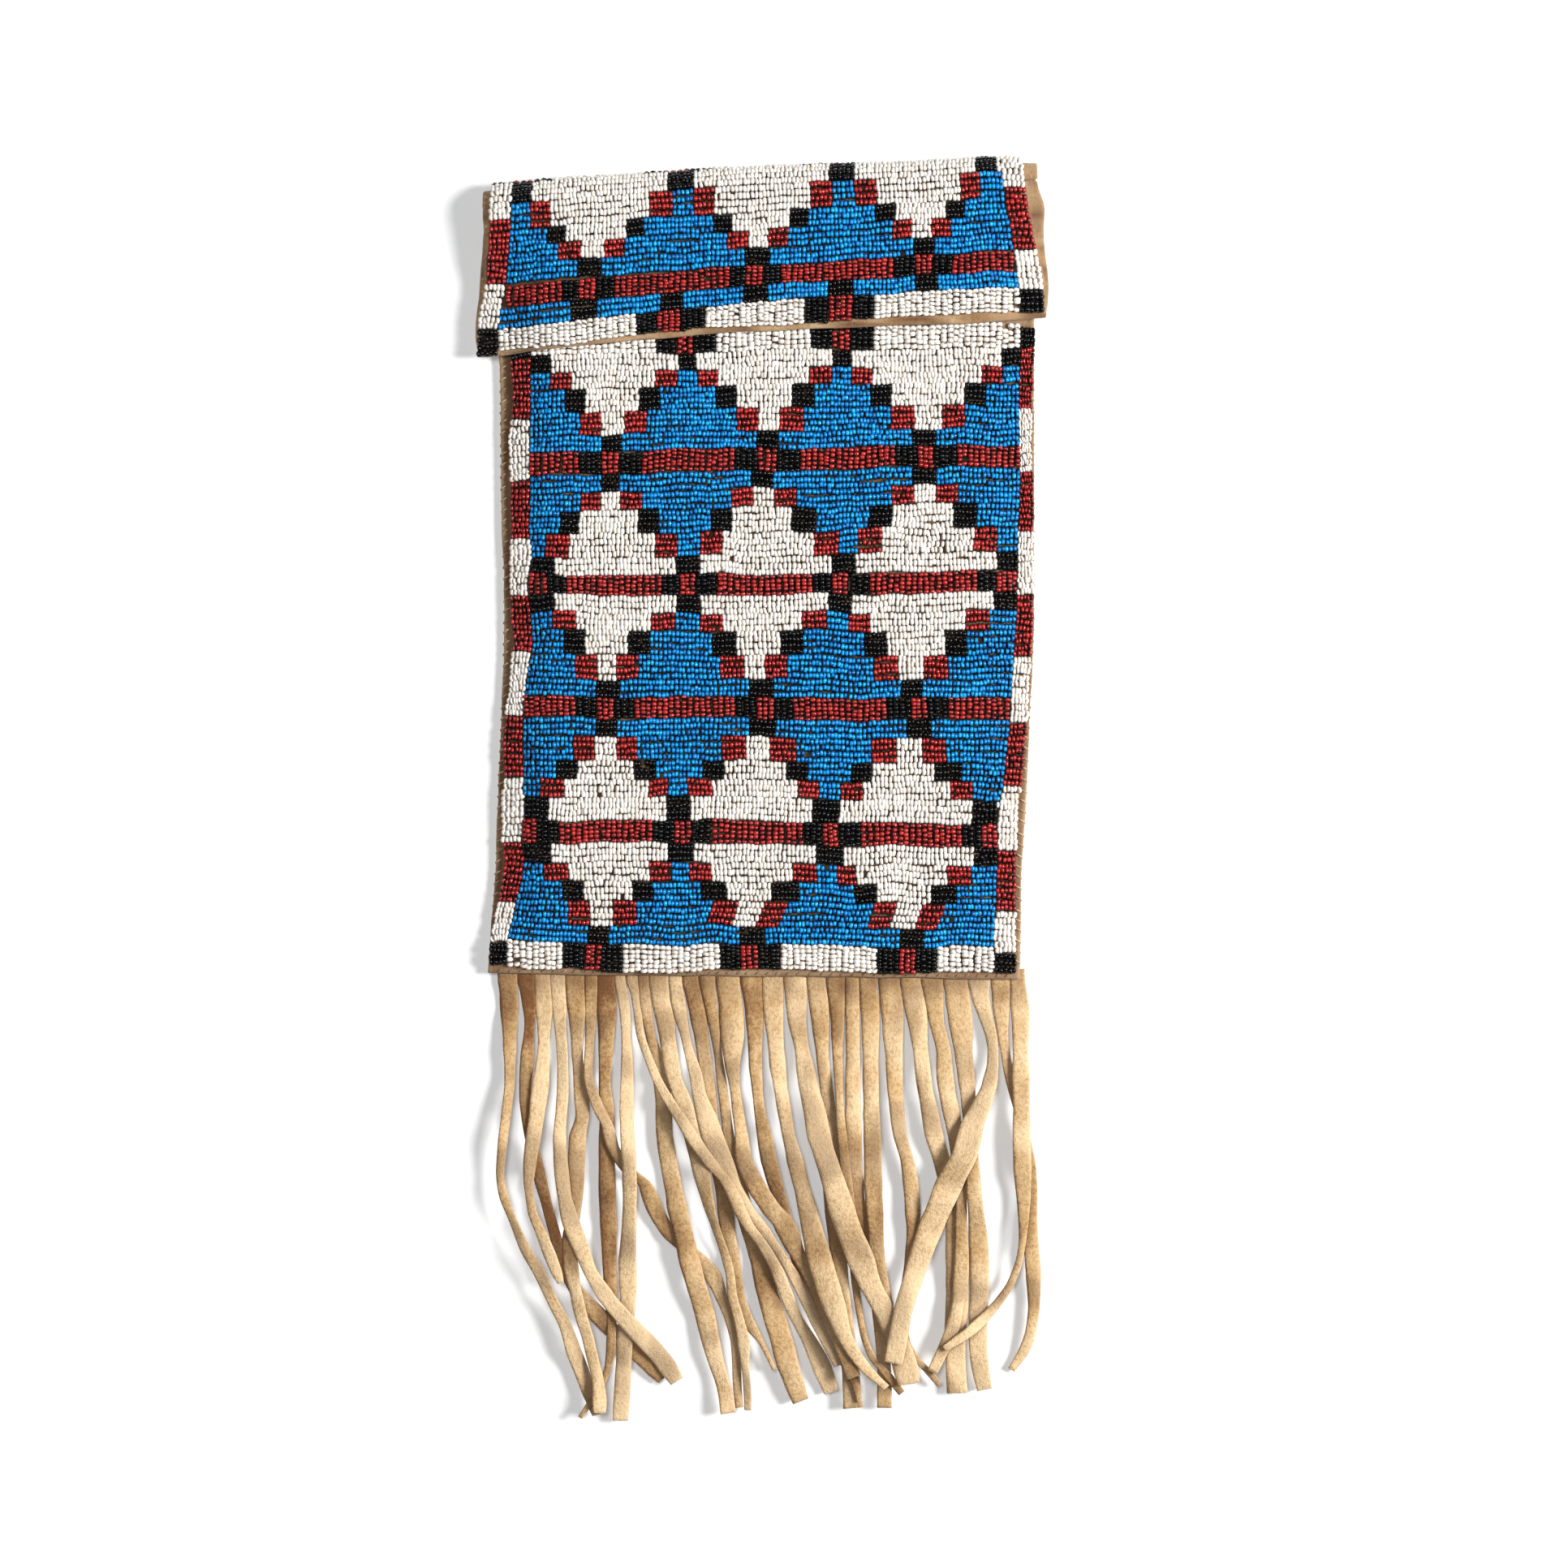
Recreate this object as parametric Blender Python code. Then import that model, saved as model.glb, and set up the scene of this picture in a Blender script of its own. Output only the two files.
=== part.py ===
"""Beaded hide pouch lying on its back: back panel and flap, front panel,
cut fringe, sinew seams and sewn beadwork bands.

Metres, +Z up. +Y points to the fold at the top, -Y to the fringe tips.
The plan of the bag is laid out in units of U (0.275 mm), the size of a
third of a bead, counted right and down from a drawing corner; P() turns
them into metres.
"""
import math

import bmesh
import bpy
import numpy as np

# ---------------------------------------------------------------- dimensions
U = 0.000275            # plan unit
CX, CY = 938.87, 971.91   # plan point at the origin
MM = 0.001

HIDE = 1.2 * MM         # hide thickness
GAP = 0.3 * MM          # clearance between touching pieces
SLAB0 = 0.4 * MM        # beadwork starts this far above the hide
SLAB1 = 2.0 * MM        # and ends here
PUFF = 4.9 * MM         # rise of the front panel in the middle of the pouch
SIDE_RUN = 20 * MM      # the rise is spread over this distance from a seam
FRONT_Z = 1.5 * MM      # underside of the front panel at the side seams
HEM_Z = 3.0 * MM        # underside of the front panel over the fringe heading
HEAD_Z = 1.5 * MM       # underside of the fringe heading
FLAP_Z = 10.1 * MM      # underside of the flap over the middle
FLAP_TOP = FLAP_Z + HIDE
TOTAL = FLAP_TOP + SLAB1
PIVOT_Z = TOTAL / 2     # flap hinge line, half way up the fold
FOLD_A = 6.6 * MM       # depth of the fold loop
MOUTH = 24 * MM         # mouth edge below the fold
THONG = 1.1 * MM        # thong thickness
SLIT = 1.8              # width of the cut between two thongs, in plan units

# plan outlines: (y, x) in plan units, top to bottom
BACK_L = [(235, 597), (300, 604), (435, 616), (596, 617), (724, 621), (826, 620), (956, 614),
          (1058, 611), (1148, 605), (1204, 601)]
BACK_R = [(197, 1276), (300, 1277), (435, 1274), (775, 1274), (839, 1271), (918, 1267),
          (995, 1264), (1071, 1258.5), (1148, 1257.5), (1204, 1256)]
FLAP_L = [(235, 596), (283, 598), (318, 595), (352, 591.5), (395, 587), (418, 586), (438, 590)]
FLAP_R = [(197, 1277), (232, 1281), (281, 1284.5), (318, 1288), (352, 1292), (372, 1291), (395, 1287)]
LANE_LL = [(430, 630), (494, 633), (571, 626), (650, 628), (750, 630), (795, 632), (877, 623),
           (982, 619), (1058, 619), (1102, 614), (1155, 605), (1200, 602)]
LANE_LR = [(430, 655), (571, 651), (648, 652), (724, 654), (795, 656), (877, 645), (969, 645),
           (1033, 643), (1102, 636), (1158, 626), (1200, 624)]
LANE_RL = [(395, 1258), (517, 1256), (622, 1256), (699, 1255), (762, 1252), (839, 1247),
           (918, 1241), (995, 1232), (1071, 1228), (1148, 1225), (1200, 1225)]
LANE_RR = [(395, 1272), (775, 1272), (839, 1268), (918, 1263), (995, 1256), (1071, 1254),
           (1148, 1252), (1200, 1252)]
FOLD_L, FOLD_R = (596, 234.0), (1277, 197.0)      # hinge line ends
BOT_L, BOT_R = (601, 1199.0), (1256, 1206.0)      # bottom edge ends

# bands across the front and the flap: (name, y at left, y at right) of their upper edges
FRONT_BANDS = [("top_lane", 412, 396), ("field_1", 441, 427), ("red_lane_1", 560, 547),
               ("field_2", 586, 574), ("red_lane_2", 708, 703), ("field_3", 733, 731),
               ("red_lane_3", 859, 861), ("field_4", 885, 888), ("red_lane_4", 1010, 1015),
               ("field_5", 1037, 1044), ("bottom_lane", 1160, 1169), ("hem", 1189, 1195)]
FLAP_BANDS = [("flap_field_upper", 249, 212), ("flap_red_lane", 350, 311),
              ("flap_field_lower", 378, 336), ("flap_bottom_lane", 403, 356), ("edge", 434, 388)]

# thongs of the fringe, each cut from the heading: (y, left x, right x)
THONGS = {
    1: [(1206, 613, 635), (1240, 616, 636), (1277, 618, 636), (1338, 620, 634), (1376, 616, 630),
        (1415, 612, 625), (1450, 611, 621), (1477, 615, 628), (1508, 627, 641), (1538, 637.5, 656),
        (1568, 653.5, 676), (1600, 670, 688), (1636, 688, 706), (1668, 697, 717), (1698, 708, 728),
        (1728, 721, 738), (1746, 729, 741)],
    2: [(1206, 637, 656.5), (1258, 646, 657), (1307, 640, 657), (1353, 639, 654), (1392, 644, 660),
        (1440, 654, 670), (1480, 664, 680), (1522, 675, 692), (1560, 684, 704), (1590, 698, 722),
        (1615, 715, 746), (1640, 738, 768), (1665, 764, 793), (1688, 790, 815), (1703, 808, 823)],
    3: [(1206, 658, 676), (1246, 660, 678), (1284, 662, 676), (1338, 655, 676), (1376, 651, 671),
        (1415, 646, 664), (1438, 644, 660), (1466, 645.5, 657), (1492, 649, 662), (1522, 660, 676),
        (1553, 671, 689.5), (1570, 679, 695), (1581, 687, 696)],
    4: [(1206, 677.5, 694), (1261, 682, 696), (1307, 685, 699), (1353, 685, 700), (1400, 681, 697),
        (1438, 682, 700), (1476, 686.5, 705), (1507, 692, 715.5), (1538, 706, 727),
        (1568, 718.6, 738), (1600, 736, 761), (1630, 760, 788), (1652, 780, 810), (1683, 806, 835),
        (1704, 824, 844)],
    5: [(1206, 696, 718), (1246, 700, 719), (1307, 704, 718), (1345, 706, 725), (1376, 708, 726),
        (1400, 701, 722), (1438, 699, 720), (1476, 702, 718), (1507, 695, 714), (1530, 692, 708),
        (1558, 693, 713.5), (1584, 699.5, 716), (1614, 705.6, 723), (1642, 714, 730),
        (1675, 722.5, 737.5), (1701, 728.5, 744), (1729, 730, 747.5), (1742, 731, 746)],
    6: [(1206, 720, 734), (1246, 721, 733), (1292, 720, 731), (1330, 719, 731), (1362, 728, 743),
        (1388, 740, 756), (1415, 747, 763), (1440, 762, 780), (1461, 784, 803), (1480, 790, 813),
        (1500, 800, 822), (1522, 814, 836), (1553, 848, 873), (1568, 862, 886.5), (1584, 872, 893.4),
        (1599, 880, 896), (1621, 890, 903), (1652, 899, 911), (1683, 902, 913), (1713, 903, 914),
        (1737, 906, 916)],
    7: [(1206, 736, 755), (1246, 736, 757), (1307, 737, 754), (1338, 737, 752), (1361, 738, 755),
        (1400, 737, 758), (1430, 737, 757), (1476, 736.6, 758.5), (1522, 739, 759.6),
        (1566, 742, 759), (1600, 745, 760), (1640, 747, 759), (1667, 746, 757.6), (1690, 743, 752),
        (1712, 733, 743), (1735, 719, 727), (1748, 711, 717)],
    8: [(1206, 757, 768), (1246, 764, 774), (1292, 765, 778), (1322, 764, 780), (1384, 763, 781),
        (1438, 766, 784), (1476, 766, 785), (1515, 763.5, 785), (1553, 761, 784), (1599, 763, 784),
        (1642, 760, 780), (1680, 758, 778), (1719, 755.5, 776), (1753, 754.5, 773)],
    9: [(1206, 770, 784), (1223, 777, 786), (1246, 781, 788), (1277, 784, 794), (1304, 793, 804),
        (1332, 804, 817), (1358, 818, 833), (1385, 834, 852), (1400, 843, 862), (1430, 864, 883),
        (1461, 889.6, 906), (1492, 903, 921), (1507, 911.8, 928), (1538, 934, 950), (1568, 949, 967),
        (1599, 961, 979), (1621, 970, 987), (1652, 986, 1007), (1683, 999, 1024), (1718, 1015, 1035)],
    10: [(1206, 786, 797), (1246, 790, 801), (1277, 795, 807), (1310, 800, 818), (1350, 806, 827),
         (1400, 808, 829), (1430, 812, 833.7), (1461, 817, 840), (1492, 822, 847.5),
         (1522, 829, 854.4), (1553, 836, 862), (1584, 844.5, 871), (1621, 855, 881), (1652, 863, 887),
         (1683, 873, 893.4), (1713, 883, 902), (1743, 888, 907)],
    11: [(1206, 799, 822), (1231, 803, 824), (1261, 809, 830), (1292, 814, 834), (1330, 821, 841),
         (1360, 831, 854), (1392, 840, 861), (1415, 846.7, 867.4), (1446, 853, 876), (1476, 861, 881),
         (1507, 872, 887), (1538, 884, 896), (1568, 893, 905), (1600, 896, 909), (1630, 904, 918),
         (1652, 908, 924), (1683, 912.6, 923.5), (1713, 915, 926), (1740, 917, 926)],
    12: [(1206, 824, 838), (1239, 828, 843), (1269, 836, 848), (1300, 843, 856), (1323, 848, 865),
         (1350, 852, 871), (1376, 857, 883), (1402, 864, 893), (1430, 879, 904), (1461, 896, 914),
         (1492, 913, 931), (1507, 925.6, 943), (1538, 948.5, 963), (1568, 967, 983),
         (1599, 983, 1000.6), (1630, 998, 1014), (1652, 1010, 1027), (1668, 1019, 1035),
         (1683, 1027, 1040)],
    13: [(1206, 840, 858), (1231, 846, 864), (1254, 851, 869), (1277, 855, 872), (1315, 860, 878),
         (1346, 864, 882), (1376, 867, 885), (1400, 870, 889), (1430, 873, 891), (1461, 879.6, 897),
         (1492, 883.5, 904), (1522, 887, 906.4), (1553, 891, 911.8), (1584, 896, 915.6),
         (1606, 900, 920), (1625, 908, 928), (1640, 920, 936), (1655, 934, 942), (1670, 942, 949),
         (1689, 951, 957)],
    14: [(1206, 861, 879), (1261, 873, 885), (1307, 880, 891), (1338, 883, 896), (1369, 887, 900),
         (1400, 890, 905), (1430, 894, 912), (1461, 899, 920), (1492, 906, 928), (1522, 914, 938),
         (1553, 923, 948), (1584, 929, 956), (1614, 937, 965), (1652, 948.5, 976.8), (1683, 957, 985),
         (1713, 968, 993.7), (1729, 976, 998)],
    15: [(1206, 882, 909), (1246, 887, 914), (1277, 888, 916), (1315, 893, 912), (1338, 898, 912),
         (1369, 902, 916), (1399, 905, 922), (1430, 905, 928), (1461, 917, 944.7), (1492, 937, 966),
         (1507, 949, 980), (1538, 967, 991), (1568, 986, 1003), (1599, 1000, 1018),
         (1630, 1014, 1033), (1665, 1030, 1050), (1697, 1042, 1062)],
    16: [(1206, 912, 937), (1246, 919, 939), (1277, 921, 939), (1307, 922, 939), (1369, 929, 943),
         (1399, 932, 951), (1430, 936, 958.5), (1461, 945, 966), (1492, 958, 974), (1522, 966, 982),
         (1553, 974, 990), (1584, 984, 999), (1614, 998, 1012), (1645, 1014, 1028),
         (1680, 1034, 1047), (1710, 1050, 1060), (1729, 1056, 1063)],
    17: [(1206, 940, 963), (1246, 942, 964), (1277, 945, 965), (1307, 947, 968), (1338, 953, 970),
         (1369, 958, 975), (1400, 963.8, 980), (1430, 969, 990), (1461, 977, 997.5),
         (1492, 983, 1007.5), (1522, 988, 1016), (1553, 994.5, 1026), (1584, 1003, 1036),
         (1614, 1016, 1044), (1642, 1029, 1050), (1663, 1041, 1060), (1685, 1058, 1076),
         (1710, 1086, 1099)],
    18: [(1206, 966, 992), (1231, 969, 993), (1261, 972, 993), (1284, 977, 996), (1315, 981, 1003),
         (1338, 984, 1008), (1369, 990, 1017), (1399, 994, 1024), (1438, 1007, 1035),
         (1471, 1016, 1047), (1497, 1022, 1056), (1527, 1033, 1067), (1553, 1043, 1079),
         (1584, 1058, 1088), (1606, 1071, 1099), (1635, 1083, 1112), (1665, 1094, 1125),
         (1690, 1101, 1133), (1706, 1106, 1134)],
    19: [(1206, 995, 1015), (1246, 999, 1021), (1307, 1006, 1022), (1338, 1010, 1026),
         (1369, 1012, 1030), (1420, 1013, 1034), (1461, 1014, 1036), (1507, 1018, 1040),
         (1553, 1024, 1044), (1600, 1030, 1048), (1650, 1034, 1054), (1700, 1038, 1060),
         (1737, 1039, 1064)],
    20: [(1206, 1019, 1040), (1246, 1024, 1040), (1292, 1025, 1039), (1338, 1028, 1039),
         (1376, 1030, 1041), (1420, 1033, 1046), (1470, 1038, 1052), (1520, 1044, 1058),
         (1580, 1049, 1059), (1621, 1055, 1064), (1652, 1061, 1071), (1676, 1071, 1082),
         (1695, 1087, 1100), (1718, 1106, 1117)],
    21: [(1206, 1043, 1057), (1231, 1043, 1058), (1300, 1042, 1060), (1370, 1041, 1061),
         (1400, 1041, 1062), (1440, 1042, 1063), (1476, 1045, 1066), (1515, 1052, 1070),
         (1560, 1062, 1078), (1600, 1072, 1088), (1650, 1078, 1096), (1700, 1081, 1099),
         (1737, 1081, 1099)],
    22: [(1206, 1060, 1080), (1246, 1062, 1083), (1338, 1063, 1083), (1369, 1063.5, 1084),
         (1430, 1064.5, 1086.5), (1461, 1065, 1087.5), (1502, 1067, 1089), (1553, 1072, 1091),
         (1584, 1080, 1096), (1612, 1088, 1102)],
    23: [(1206, 1083, 1107), (1246, 1087, 1113), (1277, 1089, 1113), (1307, 1091, 1113),
         (1338, 1093, 1113), (1369, 1096, 1115), (1400, 1101, 1118), (1430, 1109, 1126.5),
         (1461, 1113, 1132.5), (1492, 1115, 1135), (1522, 1117, 1133), (1553, 1115, 1130),
         (1600, 1109, 1122), (1640, 1109, 1120), (1658, 1113, 1124), (1675, 1124, 1135),
         (1692, 1139, 1150), (1709, 1154, 1164)],
    24: [(1206, 1110, 1133), (1246, 1117, 1142), (1277, 1123, 1143), (1307, 1126, 1146),
         (1338, 1130, 1149), (1369, 1135, 1156), (1400, 1140, 1163), (1425, 1148, 1170),
         (1455, 1156, 1179), (1484, 1162, 1187), (1507, 1165, 1191), (1553, 1165.6, 1192),
         (1600, 1166, 1194), (1652, 1164, 1190), (1690, 1166, 1191), (1719, 1167, 1193)],
    25: [(1206, 1136, 1161), (1231, 1141, 1162), (1261, 1147, 1163), (1292, 1153, 1172),
         (1323, 1154, 1175), (1353, 1158, 1179), (1376, 1163, 1184), (1400, 1168, 1186),
         (1440, 1174, 1190), (1484, 1177.8, 1191.6), (1520, 1177, 1192.5), (1553, 1176, 1194),
         (1584, 1174, 1193), (1614, 1171.7, 1187), (1636, 1165, 1183), (1660, 1156, 1172),
         (1692, 1141, 1156)],
    26: [(1206, 1164, 1191), (1246, 1169, 1197), (1277, 1173, 1199), (1307, 1177, 1200),
         (1338, 1182, 1202), (1380, 1187, 1205), (1430, 1190, 1206), (1461, 1190, 1209),
         (1492, 1193, 1212), (1522, 1194, 1217), (1553, 1195, 1219), (1584, 1195, 1219),
         (1621, 1194.6, 1217.6), (1660, 1194.5, 1217), (1690, 1198, 1220), (1715, 1204.6, 1224)],
    27: [(1206, 1194, 1220), (1231, 1200, 1219), (1254, 1208, 1223), (1277, 1215, 1229),
         (1292, 1217, 1231), (1315, 1216, 1231), (1338, 1209, 1229), (1361, 1197, 1223),
         (1384, 1184, 1215), (1425, 1170, 1204), (1451, 1155, 1191), (1484, 1142, 1176),
         (1515, 1130, 1163), (1543, 1122, 1150), (1575, 1112, 1138), (1608, 1102, 1127),
         (1650, 1093, 1119), (1680, 1089, 1112)],
    28: [(1206, 1223, 1244), (1246, 1226, 1243), (1277, 1230, 1243), (1307, 1235, 1247),
         (1345, 1243, 1255), (1390, 1255, 1267), (1430, 1264, 1276), (1464, 1267, 1279),
         (1502, 1264, 1279), (1540, 1262, 1281), (1566, 1264, 1283), (1617, 1267, 1281.5),
         (1642, 1264, 1278), (1668, 1254.5, 1269.5), (1691, 1241, 1253)],
    29: [(1206, 1247, 1262), (1246, 1248, 1268), (1307, 1248, 1268), (1369, 1248, 1270),
         (1400, 1248, 1270), (1438, 1249, 1271), (1476, 1253, 1270.5), (1507, 1255, 1268),
         (1535, 1255, 1264), (1560, 1250, 1259), (1584, 1240, 1251), (1606, 1223, 1237),
         (1621, 1208, 1226), (1640, 1185, 1206), (1652, 1168, 1188), (1662, 1155, 1170)],
}
# the order in which the thongs lie, lowest first
PILE = [2, 1, 7, 5, 6, 8, 14, 19, 21, 22, 16, 13, 12, 10, 11, 9, 3, 4, 15, 17, 23, 20, 18,
        24, 28, 25, 26, 27, 29]


# ---------------------------------------------------------------- plan helpers
def P(x, y):
    """plan units to metres"""
    return (x - CX) * U, (CY - y) * U


def line(table, y):
    """x of a plan outline at plan height y"""
    ys = [r[0] for r in table]
    xs = [r[1] for r in table]
    return float(np.interp(y, ys, xs))


def across(a, b, x):
    """y of the straight line from a to b at x"""
    return a[1] + (b[1] - a[1]) * (x - a[0]) / (b[0] - a[0])


def fold_y(x):
    return across(FOLD_L, FOLD_R, x)


def bottom_y(x):
    return across(BOT_L, BOT_R, x)


def band_y(left, right, x):
    return left + (right - left) * (x - 640.0) / (1250.0 - 640.0)


def ease(t):
    t = min(1.0, max(0.0, t))
    return t * t * (3 - 2 * t)


def side_gap(x, y):
    """distance in metres from the nearer side seam, negative outside"""
    return min(x - line(BACK_L, y), line(BACK_R, y) - x) * U


def front_under(x, y):
    """height of the front panel's underside at plan point x, y"""
    up = (bottom_y(x) - y) * U
    base = FRONT_Z + (HEM_Z - FRONT_Z) * (1 - ease((up - 7 * MM) / (9 * MM)))
    swell = ease(side_gap(x, y) / SIDE_RUN) * ease((up - 6 * MM) / (22 * MM))
    return base + (FRONT_Z + PUFF - base) * swell


def front_top(x, y):
    return front_under(x, y) + HIDE


def flap_under(x, y):
    """height of the flap's underside; full height at the fold, drooping at the sides"""
    away = (y - fold_y(x)) * U - FOLD_A
    side = side_gap(x, y)
    low = PUFF * (1 - ease(side / SIDE_RUN))
    if side < 0:
        low += 1.0 * MM * min(1.0, -side / (7 * MM))
    return FLAP_Z - low * ease(away / (30 * MM))


# ---------------------------------------------------------------- mesh helpers
def material(name, color, roughness, metallic=0.0):
    m = bpy.data.materials.get(name) or bpy.data.materials.new(name)
    m.use_nodes = True
    p = m.node_tree.nodes["Principled BSDF"]
    p.inputs["Base Color"].default_value = (*color, 1.0)
    p.inputs["Roughness"].default_value = roughness
    p.inputs["Metallic"].default_value = metallic
    return m


def finish_mesh(name, bm, mat):
    if bm.calc_volume(signed=True) < 0:
        bmesh.ops.reverse_faces(bm, faces=bm.faces[:])
    bmesh.ops.triangulate(bm, faces=bm.faces[:])
    me = bpy.data.meshes.new(name)
    bm.to_mesh(me)
    bm.free()
    me.materials.append(mat)
    me.shade_smooth()
    me.set_sharp_from_angle(angle=math.radians(40))
    ob = bpy.data.objects.new(name, me)
    bpy.context.scene.collection.objects.link(ob)
    return ob


def thick_grid(name, nu, nv, place, mat):
    """a sheet of nu by nv cells with real thickness: place(i, j, k) gives the
    metres of grid point i, j on the lower (k 0) or upper (k 1) face"""
    bm = bmesh.new()
    bmesh.ops.create_grid(bm, x_segments=nu, y_segments=nv, size=0.5)
    bm.verts.ensure_lookup_table()
    out = bmesh.ops.extrude_face_region(bm, geom=bm.faces[:])
    moved = [g for g in out["geom"] if isinstance(g, bmesh.types.BMVert)]
    bmesh.ops.translate(bm, vec=(0, 0, 1), verts=moved)
    bmesh.ops.recalc_face_normals(bm, faces=bm.faces[:])
    for v in bm.verts:
        i = int(round((v.co.x + 0.5) * nu))
        j = int(round((v.co.y + 0.5) * nv))
        v.co = place(i, j, int(round(v.co.z)))
    return finish_mesh(name, bm, mat)


SIDE_STEPS = [0, 3, 6, 9, 12, 16, 20]      # mm from a side seam


def columns(y, left, right, first=0.0):
    """plan x of the grid columns at height y: the fixed steps from each side
    seam that fall inside left..right, and even ones between them"""
    xl, xr = line(BACK_L, y), line(BACK_R, y)
    return [left] + [xl + s * MM / U for s in SIDE_STEPS if s > first] + \
        [xl + 20 * MM / U + (xr - xl - 40 * MM / U) * t / 4 for t in (1, 2, 3)] + \
        [xr - s * MM / U for s in reversed(SIDE_STEPS) if s > first] + [right]


# ---------------------------------------------------------------- hides
def make_front_hide(mat):
    ups = [0, 3, 6, 9, 12, 15, 18, 22, 26, 30, 60, 95, 130, 165, 200]   # mm above the bottom edge
    nv = len(ups)
    nu = len(columns(700, 0, 0)) - 1

    def place(i, j, k):
        # walk down the table of rows, the last row being the mouth edge
        y_mid = 1202 - ups[j] * MM / U if j < nv else 0
        if j == nv:
            y_mid = fold_y(939) + MOUTH / U
        x = columns(y_mid, line(BACK_L, y_mid), line(BACK_R, y_mid))[i]
        slope = bottom_y(x) - 1202 if j < nv else fold_y(x) - fold_y(939)
        y = y_mid + slope
        px, py = P(x, y)
        return px, py, front_under(x, y) + k * HIDE
    return thick_grid("front_hide", nu, nv, place, mat)


def make_back_hide(mat):
    rows = [1202, 1140, 1060, 960, 860, 760, 660, 560, 460, 360, 300]
    nl = 6
    nv = len(rows) + nl
    nu = 8

    def place(i, j, k):
        if j < len(rows):
            y_mid = rows[j]
            slope_l, slope_r = line(BACK_L, y_mid), line(BACK_R, y_mid)
            x = slope_l + (slope_r - slope_l) * i / nu
            y = y_mid + (bottom_y(x) - 1202) * (1 if j == 0 else 0)
            px, py = P(x, y)
            return px, py, k * HIDE
        # the lower quarter of the fold
        a = (j - len(rows)) / nl * math.pi / 2
        a = min(a, math.pi / 2)
        x = FOLD_L[0] + (FOLD_R[0] - FOLD_L[0]) * i / nu
        t = HIDE * k
        yc = fold_y(x) + FOLD_A / U
        dy = (FOLD_A - t) * math.sin(a)
        z = (PIVOT_Z - GAP / 2) - (PIVOT_Z - GAP / 2 - t) * math.cos(a)
        px, py = P(x, yc - dy / U)
        return px, py, z
    return thick_grid("back_hide", nu, nv, place, mat)


def flap_columns(y):
    return columns(y, line(FLAP_L, y), line(FLAP_R, y), first=-1)


def flap_row_y(x, y_mid):
    """the flap's rows run from the fold line to its slanted lower edge"""
    top_mid = fold_y(939) + FOLD_A / U
    low_mid = 0.5 * (436.5 + 393)
    t = (y_mid - top_mid) / (low_mid - top_mid)
    low = across((590, 437.5), (1287, 393.5), x)
    return (fold_y(x) + FOLD_A / U) * (1 - t) + low * t


def make_flap_hide(mat):
    nl = 6
    mids = [235, 250, 270, 290, 310, 335, 360, 385, 414.75]
    top_mid = fold_y(939) + FOLD_A / U
    mids = [m for m in mids if m > top_mid + 5]
    nv = nl + len(mids)
    nu = len(flap_columns(300)) - 1

    def place(i, j, k):
        if j <= nl:
            a = j / nl * math.pi / 2                  # 0 at the hinge line
            s = flap_columns(fold_y(939))[i]
            x0, x1 = flap_columns(fold_y(939))[0], flap_columns(fold_y(939))[-1]
            x = FOLD_L[0] + (FOLD_R[0] - FOLD_L[0]) * (s - x0) / (x1 - x0)
            t = HIDE * (1 - k)
            yc = fold_y(x) + FOLD_A / U
            dy = (FOLD_A - t) * math.cos(a)
            z0 = PIVOT_Z + GAP / 2
            z = z0 + (FLAP_TOP - z0 - t) * math.sin(a)
            px, py = P(x, yc - dy / U)
            return px, py, z
        m = mids[j - nl - 1]
        x = flap_columns(m)[i]
        y = flap_row_y(x, m)
        px, py = P(x, y)
        return px, py, flap_under(x, y) + k * HIDE
    return thick_grid("flap_hide", nu, nv, place, mat)


# ---------------------------------------------------------------- beadwork
def slab(name, xl, xr, yt, yb, top, mat, rows=2, edge=1.0, first=9.0):
    """a band of beadwork between the outlines xl(y), xr(y) and yt(x), yb(x)"""
    nv = rows

    def place(i, j, k):
        v = j / nv
        y_guess = yt(939) * (1 - v) + yb(939) * v
        cols = columns(y_guess, xl(y_guess) + edge, xr(y_guess) - edge, first=first)
        x = cols[i]
        y = (yt(x) + edge) * (1 - v) + (yb(x) - edge) * v
        px, py = P(x, y)
        return px, py, top(x, y) + (SLAB1 if k else SLAB0)
    nu = len(columns(700, 0, 0, first=first)) - 1
    return thick_grid(name, nu, nv, place, mat)


def side_slab(name, xl, xr, ys, top, mat):
    """a border lane running down one side"""
    nv = len(ys) - 1

    def place(i, j, k):
        y = ys[j]
        a, b = xl(y) + 0.6, xr(y) - 0.6
        x = a + (b - a) * i / 2
        px, py = P(x, y)
        return px, py, top(x, y) + (SLAB1 if k else SLAB0)
    return thick_grid(name, 2, nv, place, mat)


def make_front_beads(mats):
    bands = FRONT_BANDS
    for n, (name, yl, yr) in enumerate(bands[:-1]):
        _, bl, br = bands[n + 1]
        field = name.startswith("field")
        if name == "bottom_lane":
            rows = 2
        elif name == "field_5":
            rows = 8
        else:
            rows = 2 if field else 1
        slab("front_" + name, lambda y: line(LANE_LR, y), lambda y: line(LANE_RL, y),
             lambda x, a=yl, b=yr: band_y(a, b, x), lambda x, a=bl, b=br: band_y(a, b, x),
             front_top, mats[name.split("_")[0] if not field else "field" + name[-1]], rows=rows)
    for side, la, lb in (("left", LANE_LL, LANE_LR), ("right", LANE_RL, LANE_RR)):
        y0 = 441 if side == "left" else 398
        y1 = 1188 if side == "left" else 1194
        ys = [y0, 520, 600, 680, 760, 840, 920, 1000, 1060, 1090, 1110, 1126, 1140, 1154, 1166, y1]
        # the side lanes stop short of the neighbouring bands by a full clearance
        side_slab("front_%s_lane" % side,
                  lambda y, t=la, s=side: line(t, y) + (0 if s == "left" else 1.0),
                  lambda y, t=lb, s=side: line(t, y) - (1.0 if s == "left" else 0),
                  ys, front_top, mats["lane"])


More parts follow.
